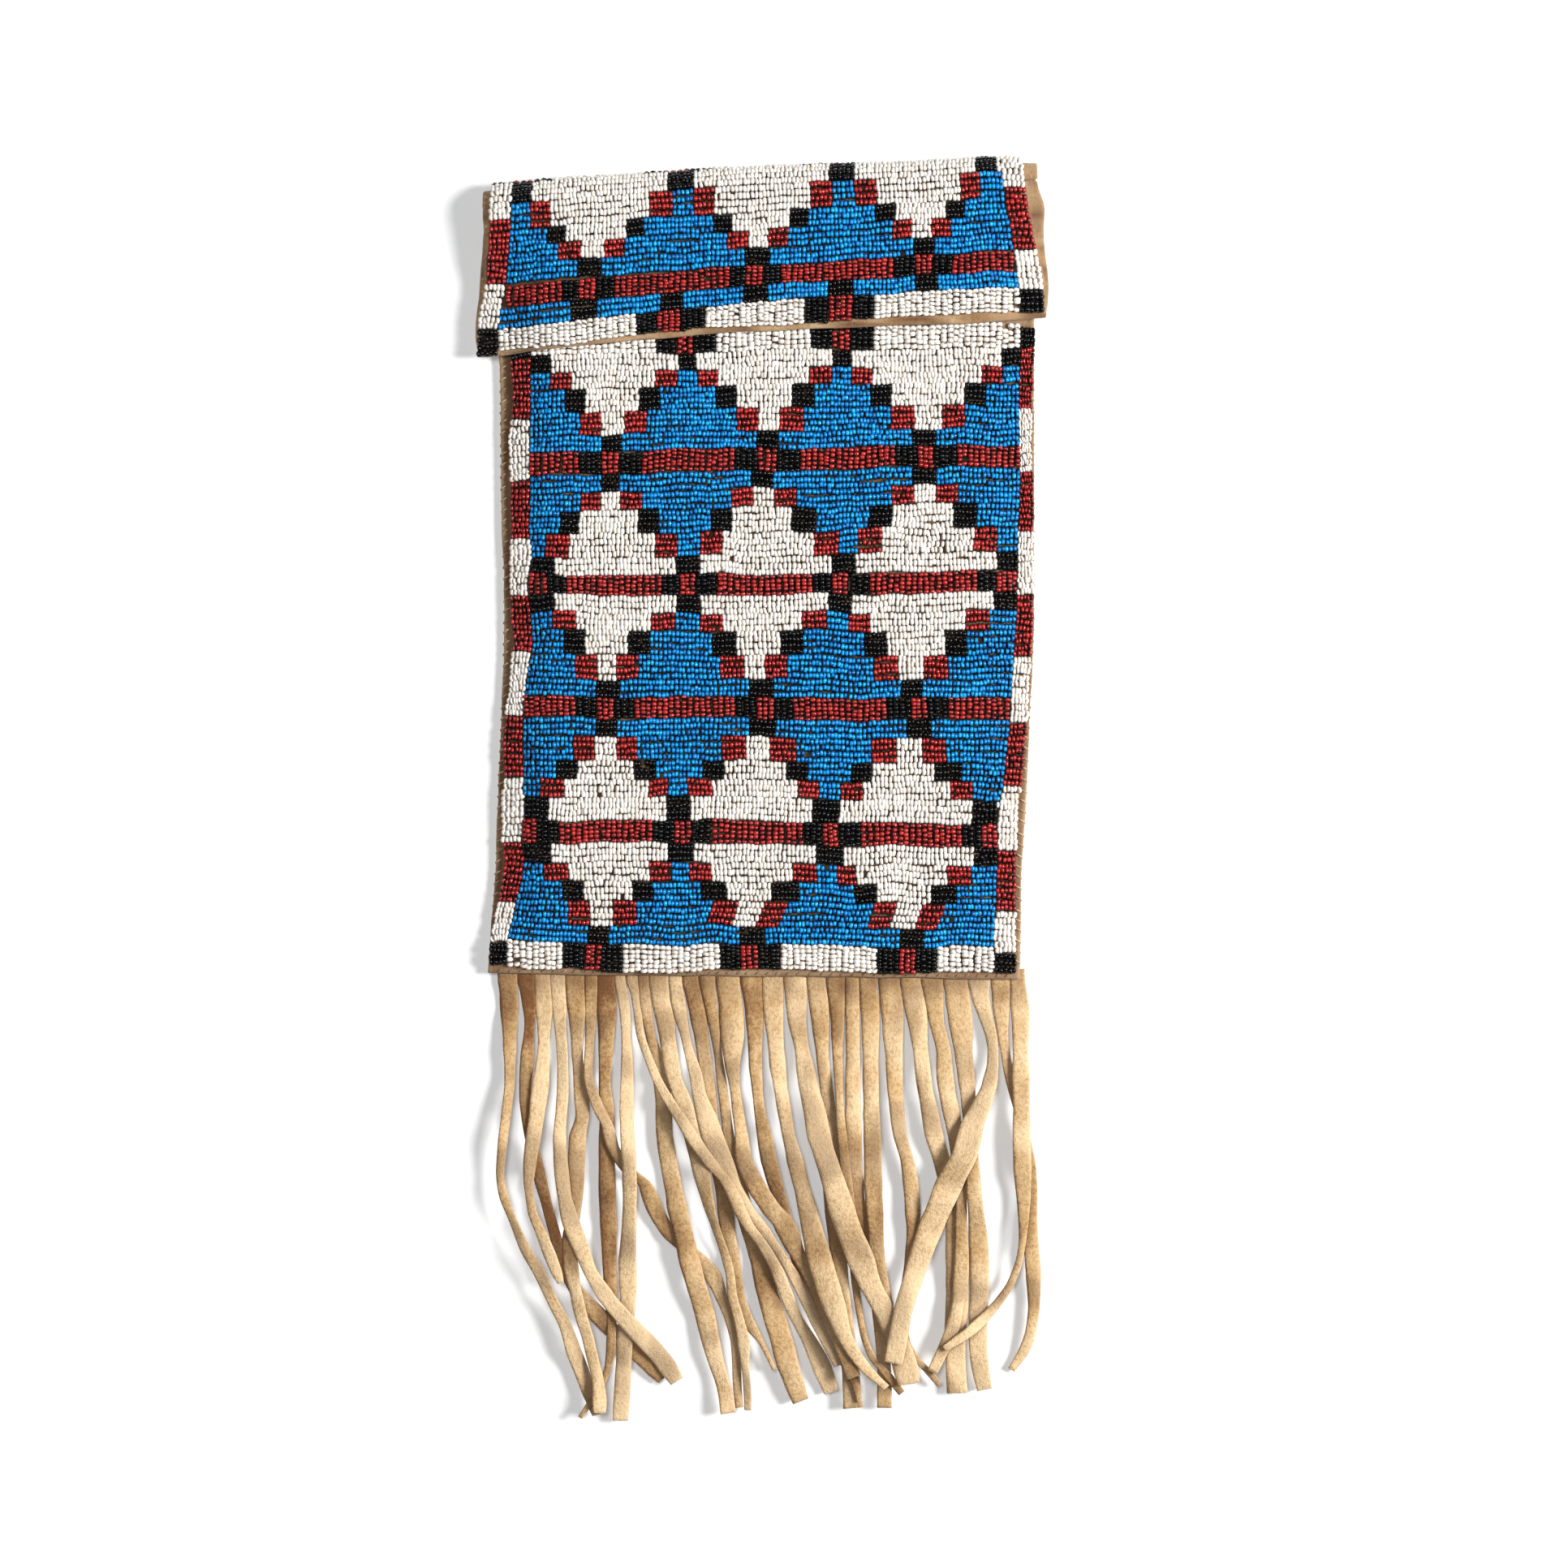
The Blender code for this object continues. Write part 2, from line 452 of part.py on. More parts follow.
def make_flap_beads(mats):
    def top(x, y):
        return flap_under(x, y) + HIDE

    in_l = [(235, 622), (404, 612), (440, 612)]
    in_r = [(197, 1246), (300, 1250), (356, 1256), (400, 1256)]
    for n, (name, yl, yr) in enumerate(FLAP_BANDS[:-1]):
        _, bl, br = FLAP_BANDS[n + 1]
        up = name == "flap_field_upper"

        def yt(x, a=yl, b=yr, u=up):
            return fold_y(x) + (FOLD_A + 0.3 * MM) / U if u else band_y(a, b, x)
        slab(name, lambda y: line(in_l, y), lambda y: line(in_r, y), yt,
             lambda x, a=bl, b=br: band_y(a, b, x), top,
             mats["field1" if "field" in name else ("red" if "red" in name else "lane")],
             rows=3 if up else 1)
    for side, la, lb in (("left", FLAP_L, in_l), ("right", in_r, FLAP_R)):
        ys = ([262, 285, 310, 335, 360, 385, 410, 433] if side == "left"
              else [226, 245, 265, 285, 305, 330, 355, 387])
        side_slab("flap_%s_lane" % side,
                  lambda y, t=la, s=side: line(t, y) + (2.5 if s == "left" else 1.0),
                  lambda y, t=lb, s=side: line(t, y) - (1.0 if s == "left" else 2.5),
                  ys, top, mats["lane"])
    # the border lane that wraps over the upper half of the fold
    nu, nv = 10, 5

    def place(i, j, k):
        a = math.radians(6 + 76 * j / nv)
        x = FOLD_L[0] + 8 + (FOLD_R[0] - FOLD_L[0] - 16) * i / nu
        t = SLAB1 if k else SLAB0
        yc = fold_y(x) + FOLD_A / U
        dy = (FOLD_A + t) * math.cos(a)
        z0 = PIVOT_Z + GAP / 2
        z = z0 + (FLAP_TOP - z0 + t) * math.sin(a)
        px, py = P(x, yc - dy / U)
        return px, py, z
    thick_grid("flap_top_lane", nu, nv, place, mats["lane"])


# ---------------------------------------------------------------- seams
def tube(name, points, r, mat, sides=5):
    bm = bmesh.new()
    pts = [np.array(p) for p in points]
    rings = []
    for n, p in enumerate(pts):
        a = pts[max(0, n - 1)]
        b = pts[min(len(pts) - 1, n + 1)]
        d = (b - a) / np.linalg.norm(b - a)
        ref = np.array((0.0, 0.0, 1.0)) if abs(d[2]) < 0.9 else np.array((1.0, 0.0, 0.0))
        e1 = np.cross(d, ref)
        e1 /= np.linalg.norm(e1)
        e2 = np.cross(d, e1)
        rings.append([bm.verts.new(p + r * (math.cos(2 * math.pi * s / sides) * e1 +
                                            math.sin(2 * math.pi * s / sides) * e2))
                      for s in range(sides)])
    for ra, rb in zip(rings[:-1], rings[1:]):
        for s in range(sides):
            bm.faces.new((ra[s], ra[(s + 1) % sides], rb[(s + 1) % sides], rb[s]))
    bm.faces.new(list(reversed(rings[0])))
    bm.faces.new(rings[-1])
    bmesh.ops.recalc_face_normals(bm, faces=bm.faces[:])
    return finish_mesh(name, bm, mat)


def make_seams(mat):
    r = 0.4 * MM
    for side, table, sign in (("left", BACK_L, -1), ("right", BACK_R, 1)):
        pts = []
        n = 44
        for k in range(n + 1):
            y = 470 + (1185 - 470) * k / n
            x = line(table, y) + sign * 0.95 * MM / U
            px, py = P(x, y)
            pts.append((px, py, (0.9 if k % 2 else 2.7) * MM))
        tube("seam_" + side, pts, r, mat)
    pts = []
    n = 44
    for k in range(n + 1):
        x = 612 + (1244 - 612) * k / n
        y = bottom_y(x) - (5.5 if k % 2 else 1.5)
        px, py = P(x, y)
        pts.append((px, py, front_top(x, y) + 0.9 * MM))
    tube("seam_bottom", pts, r, mat)


# ---------------------------------------------------------------- fringe
def thong_path(rows, step):
    """centre points and half widths along a thong, evenly spaced"""
    t = np.array([[0.5 * (a + b), y, b - a] for y, a, b in rows], float)
    seg = np.hypot(np.diff(t[:, 0]), np.diff(t[:, 1]))
    s = np.concatenate([[0], np.cumsum(seg)])
    n = max(4, int(round(s[-1] * U / step)))
    q = np.linspace(0, s[-1], n + 1)
    out = np.stack([smooth_curve(s, t[:, c], q) for c in range(3)], 1)
    d = np.gradient(out[:, :2], axis=0)
    d /= np.linalg.norm(d, axis=1)[:, None]
    half = 0.5 * out[:, 2] * np.abs(d[:, 1]) - SLIT / 2
    return out[:, 0], out[:, 1], d, np.maximum(half, 2.0)


def smooth_curve(s, v, q):
    """cubic curve through the points v at s, without overshoot"""
    m = np.gradient(v, s)
    k = np.clip(np.searchsorted(s, q) - 1, 0, len(s) - 2)
    h = s[k + 1] - s[k]
    t = (q - s[k]) / h
    a = v[k] * (1 + 2 * t) * (1 - t) ** 2 + v[k + 1] * t * t * (3 - 2 * t)
    return a + h * m[k] * t * (1 - t) ** 2 * 0.8 + h * m[k + 1] * t * t * (t - 1) * 0.8


CELL = 0.5 * MM
ROOT = 9 * MM           # no thong lies on another this close to the heading


def drape(step):
    """lays the thongs one after another on the floor and on those below"""
    gx, gy = int(0.24 / CELL), int(0.20 / CELL)
    top = np.zeros((gx, gy))

    def cell(px, py):
        i = np.clip(((px + 0.12) / CELL).astype(int), 0, gx - 1)
        j = np.clip(((-0.05 - py) / CELL).astype(int), 0, gy - 1)
        return i, j

    laid = {}
    for name in PILE:
        x, y, d, half = thong_path(THONGS[name], 0.0005)
        n = np.stack([-d[:, 1], d[:, 0]], 1)
        w = np.linspace(-1, 1, 25)[None, :]
        reach = half[:, None] + 0.1 * MM / U
        fx = x[:, None] + n[:, 0:1] * reach * w
        fy = y[:, None] + n[:, 1:2] * reach * w
        px, py = (fx - CX) * U, (CY - fy) * U
        i, j = cell(px, py)
        s = np.arange(len(x)) * 0.0005
        under = top[i, j].max(axis=1)
        need = np.where(under > 0, under + 0.4 * MM, 0.0)
        need[s < ROOT] = 0
        win = 7
        wide = np.array([need[max(0, k - win):k + win + 1].max() for k in range(len(need))])
        ramp = wide.copy()
        fall = 0.30 * 0.0005
        for k in range(1, len(ramp)):
            ramp[k] = max(ramp[k], ramp[k - 1] - fall)
        for k in range(len(ramp) - 2, -1, -1):
            ramp[k] = max(ramp[k], ramp[k + 1] - fall)
        z = np.convolve(np.pad(ramp, win, mode="edge"), np.ones(2 * win + 1) / (2 * win + 1), "valid")
        root = HEAD_Z * (1 - np.array([ease(v / (12 * MM)) for v in s]))
        z = root + z * np.array([ease((v - 1 * MM) / (8 * MM)) for v in s])
        z = np.maximum(z, np.where(s < ROOT, 0, need))
        np.maximum.at(top, (i, j), np.broadcast_to((z + THONG)[:, None], i.shape))
        keep = np.unique(np.round(np.linspace(0, len(x) - 1, int(round(s[-1] / step)) + 1)).astype(int))
        zs = []
        for a in keep:
            h = int(step / 0.0005 / 2) + 1
            lo, hi = max(0, a - h), min(len(z), a + h + 1)
            zs.append(z[lo:hi].max() if s[a] > ROOT else z[a])
        laid[name] = (x[keep], y[keep], n[keep], half[keep], np.array(zs))
    return laid


def make_fringe(mat):
    laid = drape(0.0068)
    bm = bmesh.new()
    names = sorted(THONGS)
    # heading: a row of cells whose lower corners are the roots of the thongs
    roots = []
    for n in names:
        y, a, b = THONGS[n][0]
        roots.append((a + 0.9, b - 0.9))
    xs = [roots[0][0]] + [v for r in roots for v in r][1:]
    upper, lower = [], []
    for k, x in enumerate(xs):
        px, py = P(min(x, 1253.0), bottom_y(x) - 16)
        upper.append(bm.verts.new((px, py, HEAD_Z)))
        px, py = P(x, bottom_y(x) + 5)
        lower.append(bm.verts.new((px, py, HEAD_Z)))
    for k in range(len(xs) - 1):
        bm.faces.new((upper[k], upper[k + 1], lower[k + 1], lower[k]))
    for m, n in enumerate(names):
        x, y, nn, half, z = laid[n]
        a, b = lower[2 * m], lower[2 * m + 1]
        for q in range(1, len(x)):
            c = P(x[q] + nn[q, 0] * half[q], y[q] + nn[q, 1] * half[q])
            e = P(x[q] - nn[q, 0] * half[q], y[q] - nn[q, 1] * half[q])
            if c[0] > e[0]:
                c, e = e, c
            va = bm.verts.new((c[0], c[1], z[q]))
            vb = bm.verts.new((e[0], e[1], z[q]))
            bm.faces.new((a, b, vb, va))
            a, b = va, vb
    faces = bm.faces[:]
    out = bmesh.ops.extrude_face_region(bm, geom=faces)
    moved = [g for g in out["geom"] if isinstance(g, bmesh.types.BMVert)]
    bmesh.ops.translate(bm, vec=(0, 0, THONG), verts=moved)
    bmesh.ops.recalc_face_normals(bm, faces=bm.faces[:])
    return finish_mesh("fringe", bm, mat)


# ---------------------------------------------------------------- build
def main():
    for ob in list(bpy.data.objects):
        bpy.data.objects.remove(ob, do_unlink=True)
    hide = material("smoked_hide", (0.62, 0.42, 0.25), 0.85)
    cut = material("thong_hide", (0.70, 0.50, 0.30), 0.85)
    sinew = material("sinew", (0.72, 0.60, 0.42), 0.7)
    white = material("white_beads", (0.80, 0.78, 0.74), 0.35)
    blue = material("blue_beads", (0.10, 0.22, 0.50), 0.25)
    red = material("red_beads", (0.45, 0.05, 0.05), 0.25)
    lane = material("border_beads", (0.65, 0.40, 0.38), 0.3)
    mats = {"red": red, "lane": lane, "top": lane, "bottom": lane,
            "field1": blue, "field2": white, "field3": blue, "field4": white, "field5": blue}

    hinge = bpy.data.objects.new("flap_hinge", None)
    x, y = P(0.5 * (FOLD_L[0] + FOLD_R[0]), fold_y(0.5 * (FOLD_L[0] + FOLD_R[0])))
    # outside the beads on the fold, so that they clear the back panel when the flap opens
    hinge.location = (x, y + SLAB1 + GAP, PIVOT_Z)
    bpy.context.scene.collection.objects.link(hinge)

    make_back_hide(hide)
    make_front_hide(hide)
    make_fringe(cut)
    make_seams(sinew)
    make_front_beads(mats)
    make_flap_hide(hide)
    make_flap_beads(mats)
    bpy.context.view_layer.update()
    for ob in list(bpy.data.objects):
        if ob.type == "MESH" and ob.name.startswith("flap_"):
            ob.parent = hinge
            ob.matrix_parent_inverse = hinge.matrix_world.inverted()


main()
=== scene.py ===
"""Looks of the beaded hide pouch: seed beads strung in rows and lanes, smoked
hide with its folds and stains, cut thongs, sinew stitches, floor and light.

The plan of the beadwork is laid out in the same plan units as the solids:
U metres each, x to the right, y down; P() turns them into metres.
"""
import math

import bpy
import numpy as np
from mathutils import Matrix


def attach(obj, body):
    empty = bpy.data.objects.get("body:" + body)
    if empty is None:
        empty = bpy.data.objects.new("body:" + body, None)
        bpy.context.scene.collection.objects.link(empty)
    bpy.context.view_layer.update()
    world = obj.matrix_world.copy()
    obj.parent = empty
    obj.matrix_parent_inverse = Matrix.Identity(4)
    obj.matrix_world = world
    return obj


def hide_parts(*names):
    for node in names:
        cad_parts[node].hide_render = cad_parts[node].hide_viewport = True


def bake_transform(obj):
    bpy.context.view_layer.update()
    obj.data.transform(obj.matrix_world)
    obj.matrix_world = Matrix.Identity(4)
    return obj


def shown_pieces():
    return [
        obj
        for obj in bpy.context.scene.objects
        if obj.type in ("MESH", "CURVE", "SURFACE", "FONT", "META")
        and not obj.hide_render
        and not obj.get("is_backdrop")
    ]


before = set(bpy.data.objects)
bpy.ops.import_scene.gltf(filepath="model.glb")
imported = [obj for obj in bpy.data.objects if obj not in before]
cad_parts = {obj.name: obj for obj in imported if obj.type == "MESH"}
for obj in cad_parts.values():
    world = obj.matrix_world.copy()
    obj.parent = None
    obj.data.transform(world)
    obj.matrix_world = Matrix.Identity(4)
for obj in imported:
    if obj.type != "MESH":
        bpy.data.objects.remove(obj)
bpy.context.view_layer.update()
rng = np.random.default_rng(20)

# ---------------------------------------------------------------- plan
U = 0.000275
CX, CY = 938.87, 971.91
MM = 0.001
HIDE = 1.2 * MM
PUFF = 4.9 * MM
SIDE_RUN = 20 * MM
FRONT_Z = 1.5 * MM
HEM_Z = 3.0 * MM
HEAD_Z = 1.5 * MM
FLAP_Z = 10.1 * MM
FLAP_TOP = FLAP_Z + HIDE
FOLD_MID = 6.65 * MM
FOLD_A = 6.6 * MM
MOUTH = 24 * MM
THONG = 1.1 * MM
SLIT = 1.8

BACK_L = [(235, 597), (300, 604), (435, 616), (596, 617), (724, 621), (826, 620), (956, 614),
          (1058, 611), (1148, 605), (1204, 601)]
BACK_R = [(197, 1276), (300, 1277), (435, 1274), (775, 1274), (839, 1271), (918, 1267),
          (995, 1264), (1071, 1258.5), (1148, 1257.5), (1204, 1256)]
FLAP_L = [(235, 596), (272, 597.5), (283, 598), (318, 595), (352, 591.5), (395, 587), (418, 586), (438, 590)]
FLAP_R = [(197, 1277), (232, 1281), (258, 1285.5), (281, 1284.5), (318, 1288), (352, 1292), (372, 1291), (395, 1287)]
FLAP_EDGE = [(590, 437.5), (602, 438.0), (620, 437.0), (660, 431.0), (700, 427.5), (740, 424), (780, 420.5), (820, 417.5),
             (860, 413.5), (900, 409.5), (940, 408.5), (980, 406.5), (1040, 403.5), (1080, 402), (1140, 400.5), (1180, 400),
             (1220, 397), (1240, 394), (1260, 392), (1287, 390)]
LANE_LL = [(410, 629), (446, 628.5), (494, 632.5), (520, 629), (571, 625.5), (596, 627), (678, 629), (724, 627.5), (750, 630),
           (795, 632), (877, 623), (982, 619), (1033, 617), (1058, 620), (1102, 614.5), (1155, 604.5), (1191, 600)]
LANE_LR = [(410, 654), (446, 653.5), (571, 651), (648, 651.5), (678, 656), (724, 650), (795, 656.5), (877, 643.5), (905, 645),
           (969, 644.5), (995, 647.5), (1033, 642), (1058, 647), (1102, 637), (1158, 625), (1195, 623)]
LANE_RL = [(395, 1258), (435, 1258), (517, 1256), (622, 1256), (699, 1255), (762, 1252), (839, 1247),
           (902, 1243), (995, 1232), (1071, 1228), (1148, 1225), (1200, 1226)]
LANE_RR = [(395, 1274), (435, 1273.5), (517, 1270), (545, 1269), (622, 1273.5), (762, 1273.5), (839, 1268), (902, 1265),
           (995, 1255), (1071, 1253.5), (1148, 1251.5), (1200, 1253)]
FOLD_L, FOLD_R = (596, 234.0), (1277, 197.0)
BOT_L, BOT_R = (601, 1199.0), (1256, 1206.0)

BANDS = {"top_lane": (412, 396), "field_1": (441, 427), "red_lane_1": (560, 547),
         "field_2": (586, 574), "red_lane_2": (708, 703), "field_3": (733, 731),
         "red_lane_3": (859, 861), "field_4": (885, 888), "red_lane_4": (1010, 1015),
         "field_5": (1037, 1044), "bottom_lane": (1160, 1169), "hem": (1193, 1200)}


def P(x, y):
    return (x - CX) * U, (CY - y) * U


def line(table, y):
    return np.interp(y, [r[0] for r in table], [r[1] for r in table])


def across(a, b, x):
    return a[1] + (b[1] - a[1]) * (x - a[0]) / (b[0] - a[0])


def fold_y(x):
    return across(FOLD_L, FOLD_R, x)


def bottom_y(x):
    return across(BOT_L, BOT_R, x)


def band(name, x):
    a, b = BANDS[name]
    return a + (b - a) * (x - 640.0) / (1250.0 - 640.0)


def ease(t):
    t = np.clip(t, 0.0, 1.0)
    return t * t * (3 - 2 * t)


def hashed(i, j, seed):
    n = (i * 374761393 + j * 668265263 + seed * 144269504) & 0xFFFFFFFF
    n = ((n ^ (n >> 13)) * 1274126177) & 0xFFFFFFFF
    return ((n ^ (n >> 16)) & 0xFFFF) / 32767.5 - 1.0


def noise(x, y, cell, seed):
    """smooth random value between -1 and 1 over the plan, with features about one cell wide"""
    gx, gy = np.asarray(x, float) / cell, np.asarray(y, float) / cell
    i, j = np.floor(gx).astype(np.int64), np.floor(gy).astype(np.int64)
    fx, fy = ease(gx - i), ease(gy - j)
    a = hashed(i, j, seed) * (1 - fx) + hashed(i + 1, j, seed) * fx
    b = hashed(i, j + 1, seed) * (1 - fx) + hashed(i + 1, j + 1, seed) * fx
    return a * (1 - fy) + b * fy


def side_gap(x, y):
    return np.minimum(x - line(BACK_L, y), line(BACK_R, y) - x) * U


def front_under(x, y):
    up = (bottom_y(x) - y) * U
    base = FRONT_Z + (HEM_Z - FRONT_Z) * (1 - ease((up - 7 * MM) / (9 * MM)))
    swell = ease(side_gap(x, y) / SIDE_RUN) * ease((up - 6 * MM) / (22 * MM))
    z = base + (FRONT_Z + PUFF - base) * swell
    # the hide lies a little uneven
    return z + swell * (0.28 * MM * noise(x, y, 95, 3) + 0.12 * MM * noise(x, y, 37, 4))


def front_top(x, y):
    return front_under(x, y) + HIDE


def flap_under(x, y):
    away = (y - fold_y(x)) * U - FOLD_A
    side = side_gap(x, y)
    low = PUFF * (1 - ease(side / SIDE_RUN))
    low = low + np.where(side < 0, 1.0 * MM * np.minimum(1.0, -side / (7 * MM)), 0.0)
    z = FLAP_Z - low * ease(away / (30 * MM))
    return z + ease(away / (14 * MM)) * (0.16 * MM * noise(x, y, 70, 5) + 0.08 * MM * noise(x, y, 31, 6))


# the fold seen from the side: s runs down the flap from the top of the fold, in
# plan units, and is negative round the loop towards the back
BEAD_R = 1.0 * MM
FAT = 1.21             # the beads are pressed against their neighbours
FOLD_BOW = [(596, 2.0), (640, 0.0), (700, -2.0), (790, -2.6), (880, -4.2), (960, -3.6), (1060, -1.6), (1120, 0.0),
            (1175, -0.4), (1215, -1.4), (1245, 1.5), (1277, 5.0)]
_phi = np.linspace(0, math.pi, 721)
_ay = (FOLD_A + BEAD_R) * np.sin(_phi)
_az = np.where(_phi < math.pi / 2, (FLAP_TOP - FOLD_MID + BEAD_R) * np.cos(_phi), (FOLD_MID + BEAD_R) * np.cos(_phi))
_arc = np.concatenate([[0], np.cumsum(np.hypot(np.diff(_ay), np.diff(_az)))]) / U


def fold_bow(x, s):
    """the fold isn't quite straight; lower down the flap evens out"""
    return line(FOLD_BOW, x) * (1 - ease(s / 70.0))


def flap_point(x, s, h):
    """metres of the point h above the outer face of the flap or of the fold"""
    x, s = np.broadcast_arrays(np.asarray(x, float), np.asarray(s, float))
    yc = fold_y(x) + FOLD_A / U
    phi = np.interp(-s, _arc, _phi)
    up = np.where(phi < math.pi / 2, FLAP_TOP - FOLD_MID, FOLD_MID)
    y_loop = yc - (FOLD_A + h) * np.sin(phi) / U
    z_loop = FOLD_MID + (up + h) * np.cos(phi)
    y_flat = yc + s
    on = s < 0
    y = np.where(on, y_loop, y_flat) + fold_bow(x, s)
    z = np.where(on, z_loop, flap_under(x, y_flat) + HIDE + h)
    px, py = P(x, y)
    return np.stack([px, py, z], -1)


def front_point(x, y, h):
    px, py = P(x, y)
    return np.stack([px, py, front_top(x, y) + h], -1)


# ---------------------------------------------------------------- meshes
def make_mesh(name, verts, faces, materials, mat_index=None, smooth=True):
    """faces is a list of arrays, one array per number of corners"""
    verts = np.asarray(verts, np.float32)
    loops = np.concatenate([f.ravel() for f in faces])
    totals = np.concatenate([np.full(len(f), f.shape[1]) for f in faces])
    starts = np.concatenate([[0], np.cumsum(totals)[:-1]])
    me = bpy.data.meshes.new(name)
    me.vertices.add(len(verts))
    me.vertices.foreach_set("co", verts.ravel())
    me.loops.add(len(loops))
    me.loops.foreach_set("vertex_index", loops.astype(np.int32))
    me.polygons.add(len(starts))
    me.polygons.foreach_set("loop_start", starts.astype(np.int32))
    if mat_index is not None:
        me.polygons.foreach_set("material_index", mat_index.astype(np.int32))
    me.polygons.foreach_set("use_smooth", np.full(len(starts), smooth, bool))
    for m in materials:
        me.materials.append(m)
    me.update(calc_edges=True)
    ob = bpy.data.objects.new(name, me)
    bpy.context.scene.collection.objects.link(ob)
    return ob


def add_floats(ob, **values):
    for key, v in values.items():
        a = ob.data.attributes.new(key, "FLOAT", "POINT")
        a.data.foreach_set("value", np.asarray(v, np.float32))


def add_uv(ob, uv):
    layer = ob.data.uv_layers.new(name="OFBake")
    layer.data.foreach_set("uv", np.asarray(uv, np.float32).ravel())


# ---------------------------------------------------------------- materials
def node_material(name):
    m = bpy.data.materials.new(name)
    m.use_nodes = True
    nt = m.node_tree
    return m, nt, nt.nodes["Principled BSDF"]


def node(nt, kind, **kw):
    n = nt.nodes.new(kind)
    for k, v in kw.items():
        setattr(n, k, v)
    return n


def attribute(nt, name):
    n = nt.nodes.new("ShaderNodeAttribute")
    n.attribute_name = name
    return n.outputs["Fac"]


def mix(nt, fac, a, b, blend="MIX"):
    n = nt.nodes.new("ShaderNodeMix")
    n.data_type = "RGBA"
    n.blend_type = blend
    for sock, v in (("Factor", fac), ("A", a), ("B", b)):
        i = [s for s in n.inputs if s.name == sock and (sock == "Factor" and s.type == "VALUE" or s.type == "RGBA")][0]
        if isinstance(v, (int, float)):
            i.default_value = v
        elif isinstance(v, tuple):
            i.default_value = (*v, 1.0)
        else:
            nt.links.new(v, i)
    return [s for s in n.outputs if s.type == "RGBA"][0]


def ramp(nt, src, stops):
    n = nt.nodes.new("ShaderNodeValToRGB")
    e = n.color_ramp.elements
    while len(e) < len(stops):
        e.new(0.5)
    for k, (pos, v) in enumerate(stops):
        e[k].position = pos
        c = v if isinstance(v, tuple) else (v, v, v)
        e[k].color = (*c, 1.0)
    nt.links.new(src, n.inputs["Fac"])
    return n.outputs["Color"]


def tex_noise(nt, vector, scale, detail=3.0, rough=0.55):
    n = nt.nodes.new("ShaderNodeTexNoise")
    n.inputs["Scale"].default_value = scale
    n.inputs["Detail"].default_value = detail
    n.inputs["Roughness"].default_value = rough
    nt.links.new(vector, n.inputs["Vector"])
    return n.outputs["Fac"]


def math_node(nt, op, a, b=None):
    n = nt.nodes.new("ShaderNodeMath")
    n.operation = op
    for k, v in enumerate((a, b)):
        if v is None:
            continue
        if isinstance(v, (int, float)):
            n.inputs[k].default_value = v
        else:
            nt.links.new(v, n.inputs[k])
    return n.outputs[0]


def object_coords(nt):
    return nt.nodes.new("ShaderNodeTexCoord").outputs["Object"]


def bead_material(name, dark, mid, light, rough, shade_color, shade_amount, rim, heart=None, specular=0.5):
    """glass bead: tone varies from bead to bead; painted shade darkens its underside and its ends towards a hide tan or
    near black
    """
    m, nt, p = node_material(name)
    tone = attribute(nt, "tone")
    col = ramp(nt, tone, [(0.0, dark), (0.45, mid), (1.0, light)])
    fine = tex_noise(nt, object_coords(nt), 1500, 2.0)
    col = mix(nt, math_node(nt, "MULTIPLY", fine, 0.25), col, mid)
    if heart:
        # the pale core of a two-layer bead shows at its ends
        ends = ramp(nt, attribute(nt, "ends"), [(0.55, 0.0), (1.0, 1.0)])
        col = mix(nt, math_node(nt, "MULTIPLY", ends, heart[1]), col, heart[0])
    # rim is where the painted shade towards the underside starts and ends
    under = ramp(nt, attribute(nt, "low"), [(rim[0], 0.0), (rim[1], 1.0)])
    # painted shade at the ends, where a bead meets its neighbours
    between = ramp(nt, attribute(nt, "ends"), [(0.62, 0.0), (1.0, 0.75)])
    under = math_node(nt, "MAXIMUM", under, between)
    # painted shade, stronger on some beads than others, mixed towards the gap colour
    dust = math_node(nt, "ADD", math_node(nt, "MULTIPLY", attribute(nt, "dust"), 0.4), 0.70)
    painted_shade = math_node(nt, "MINIMUM", math_node(nt, "MULTIPLY", math_node(nt, "MULTIPLY", under, dust), shade_amount), 1.0)
    col = mix(nt, painted_shade, col, shade_color)
    nt.links.new(col, p.inputs["Base Color"])
    r = math_node(nt, "ADD", math_node(nt, "MULTIPLY", painted_shade, 0.4), rough)
    nt.links.new(r, p.inputs["Roughness"])
    p.inputs["Specular IOR Level"].default_value = specular
    return m


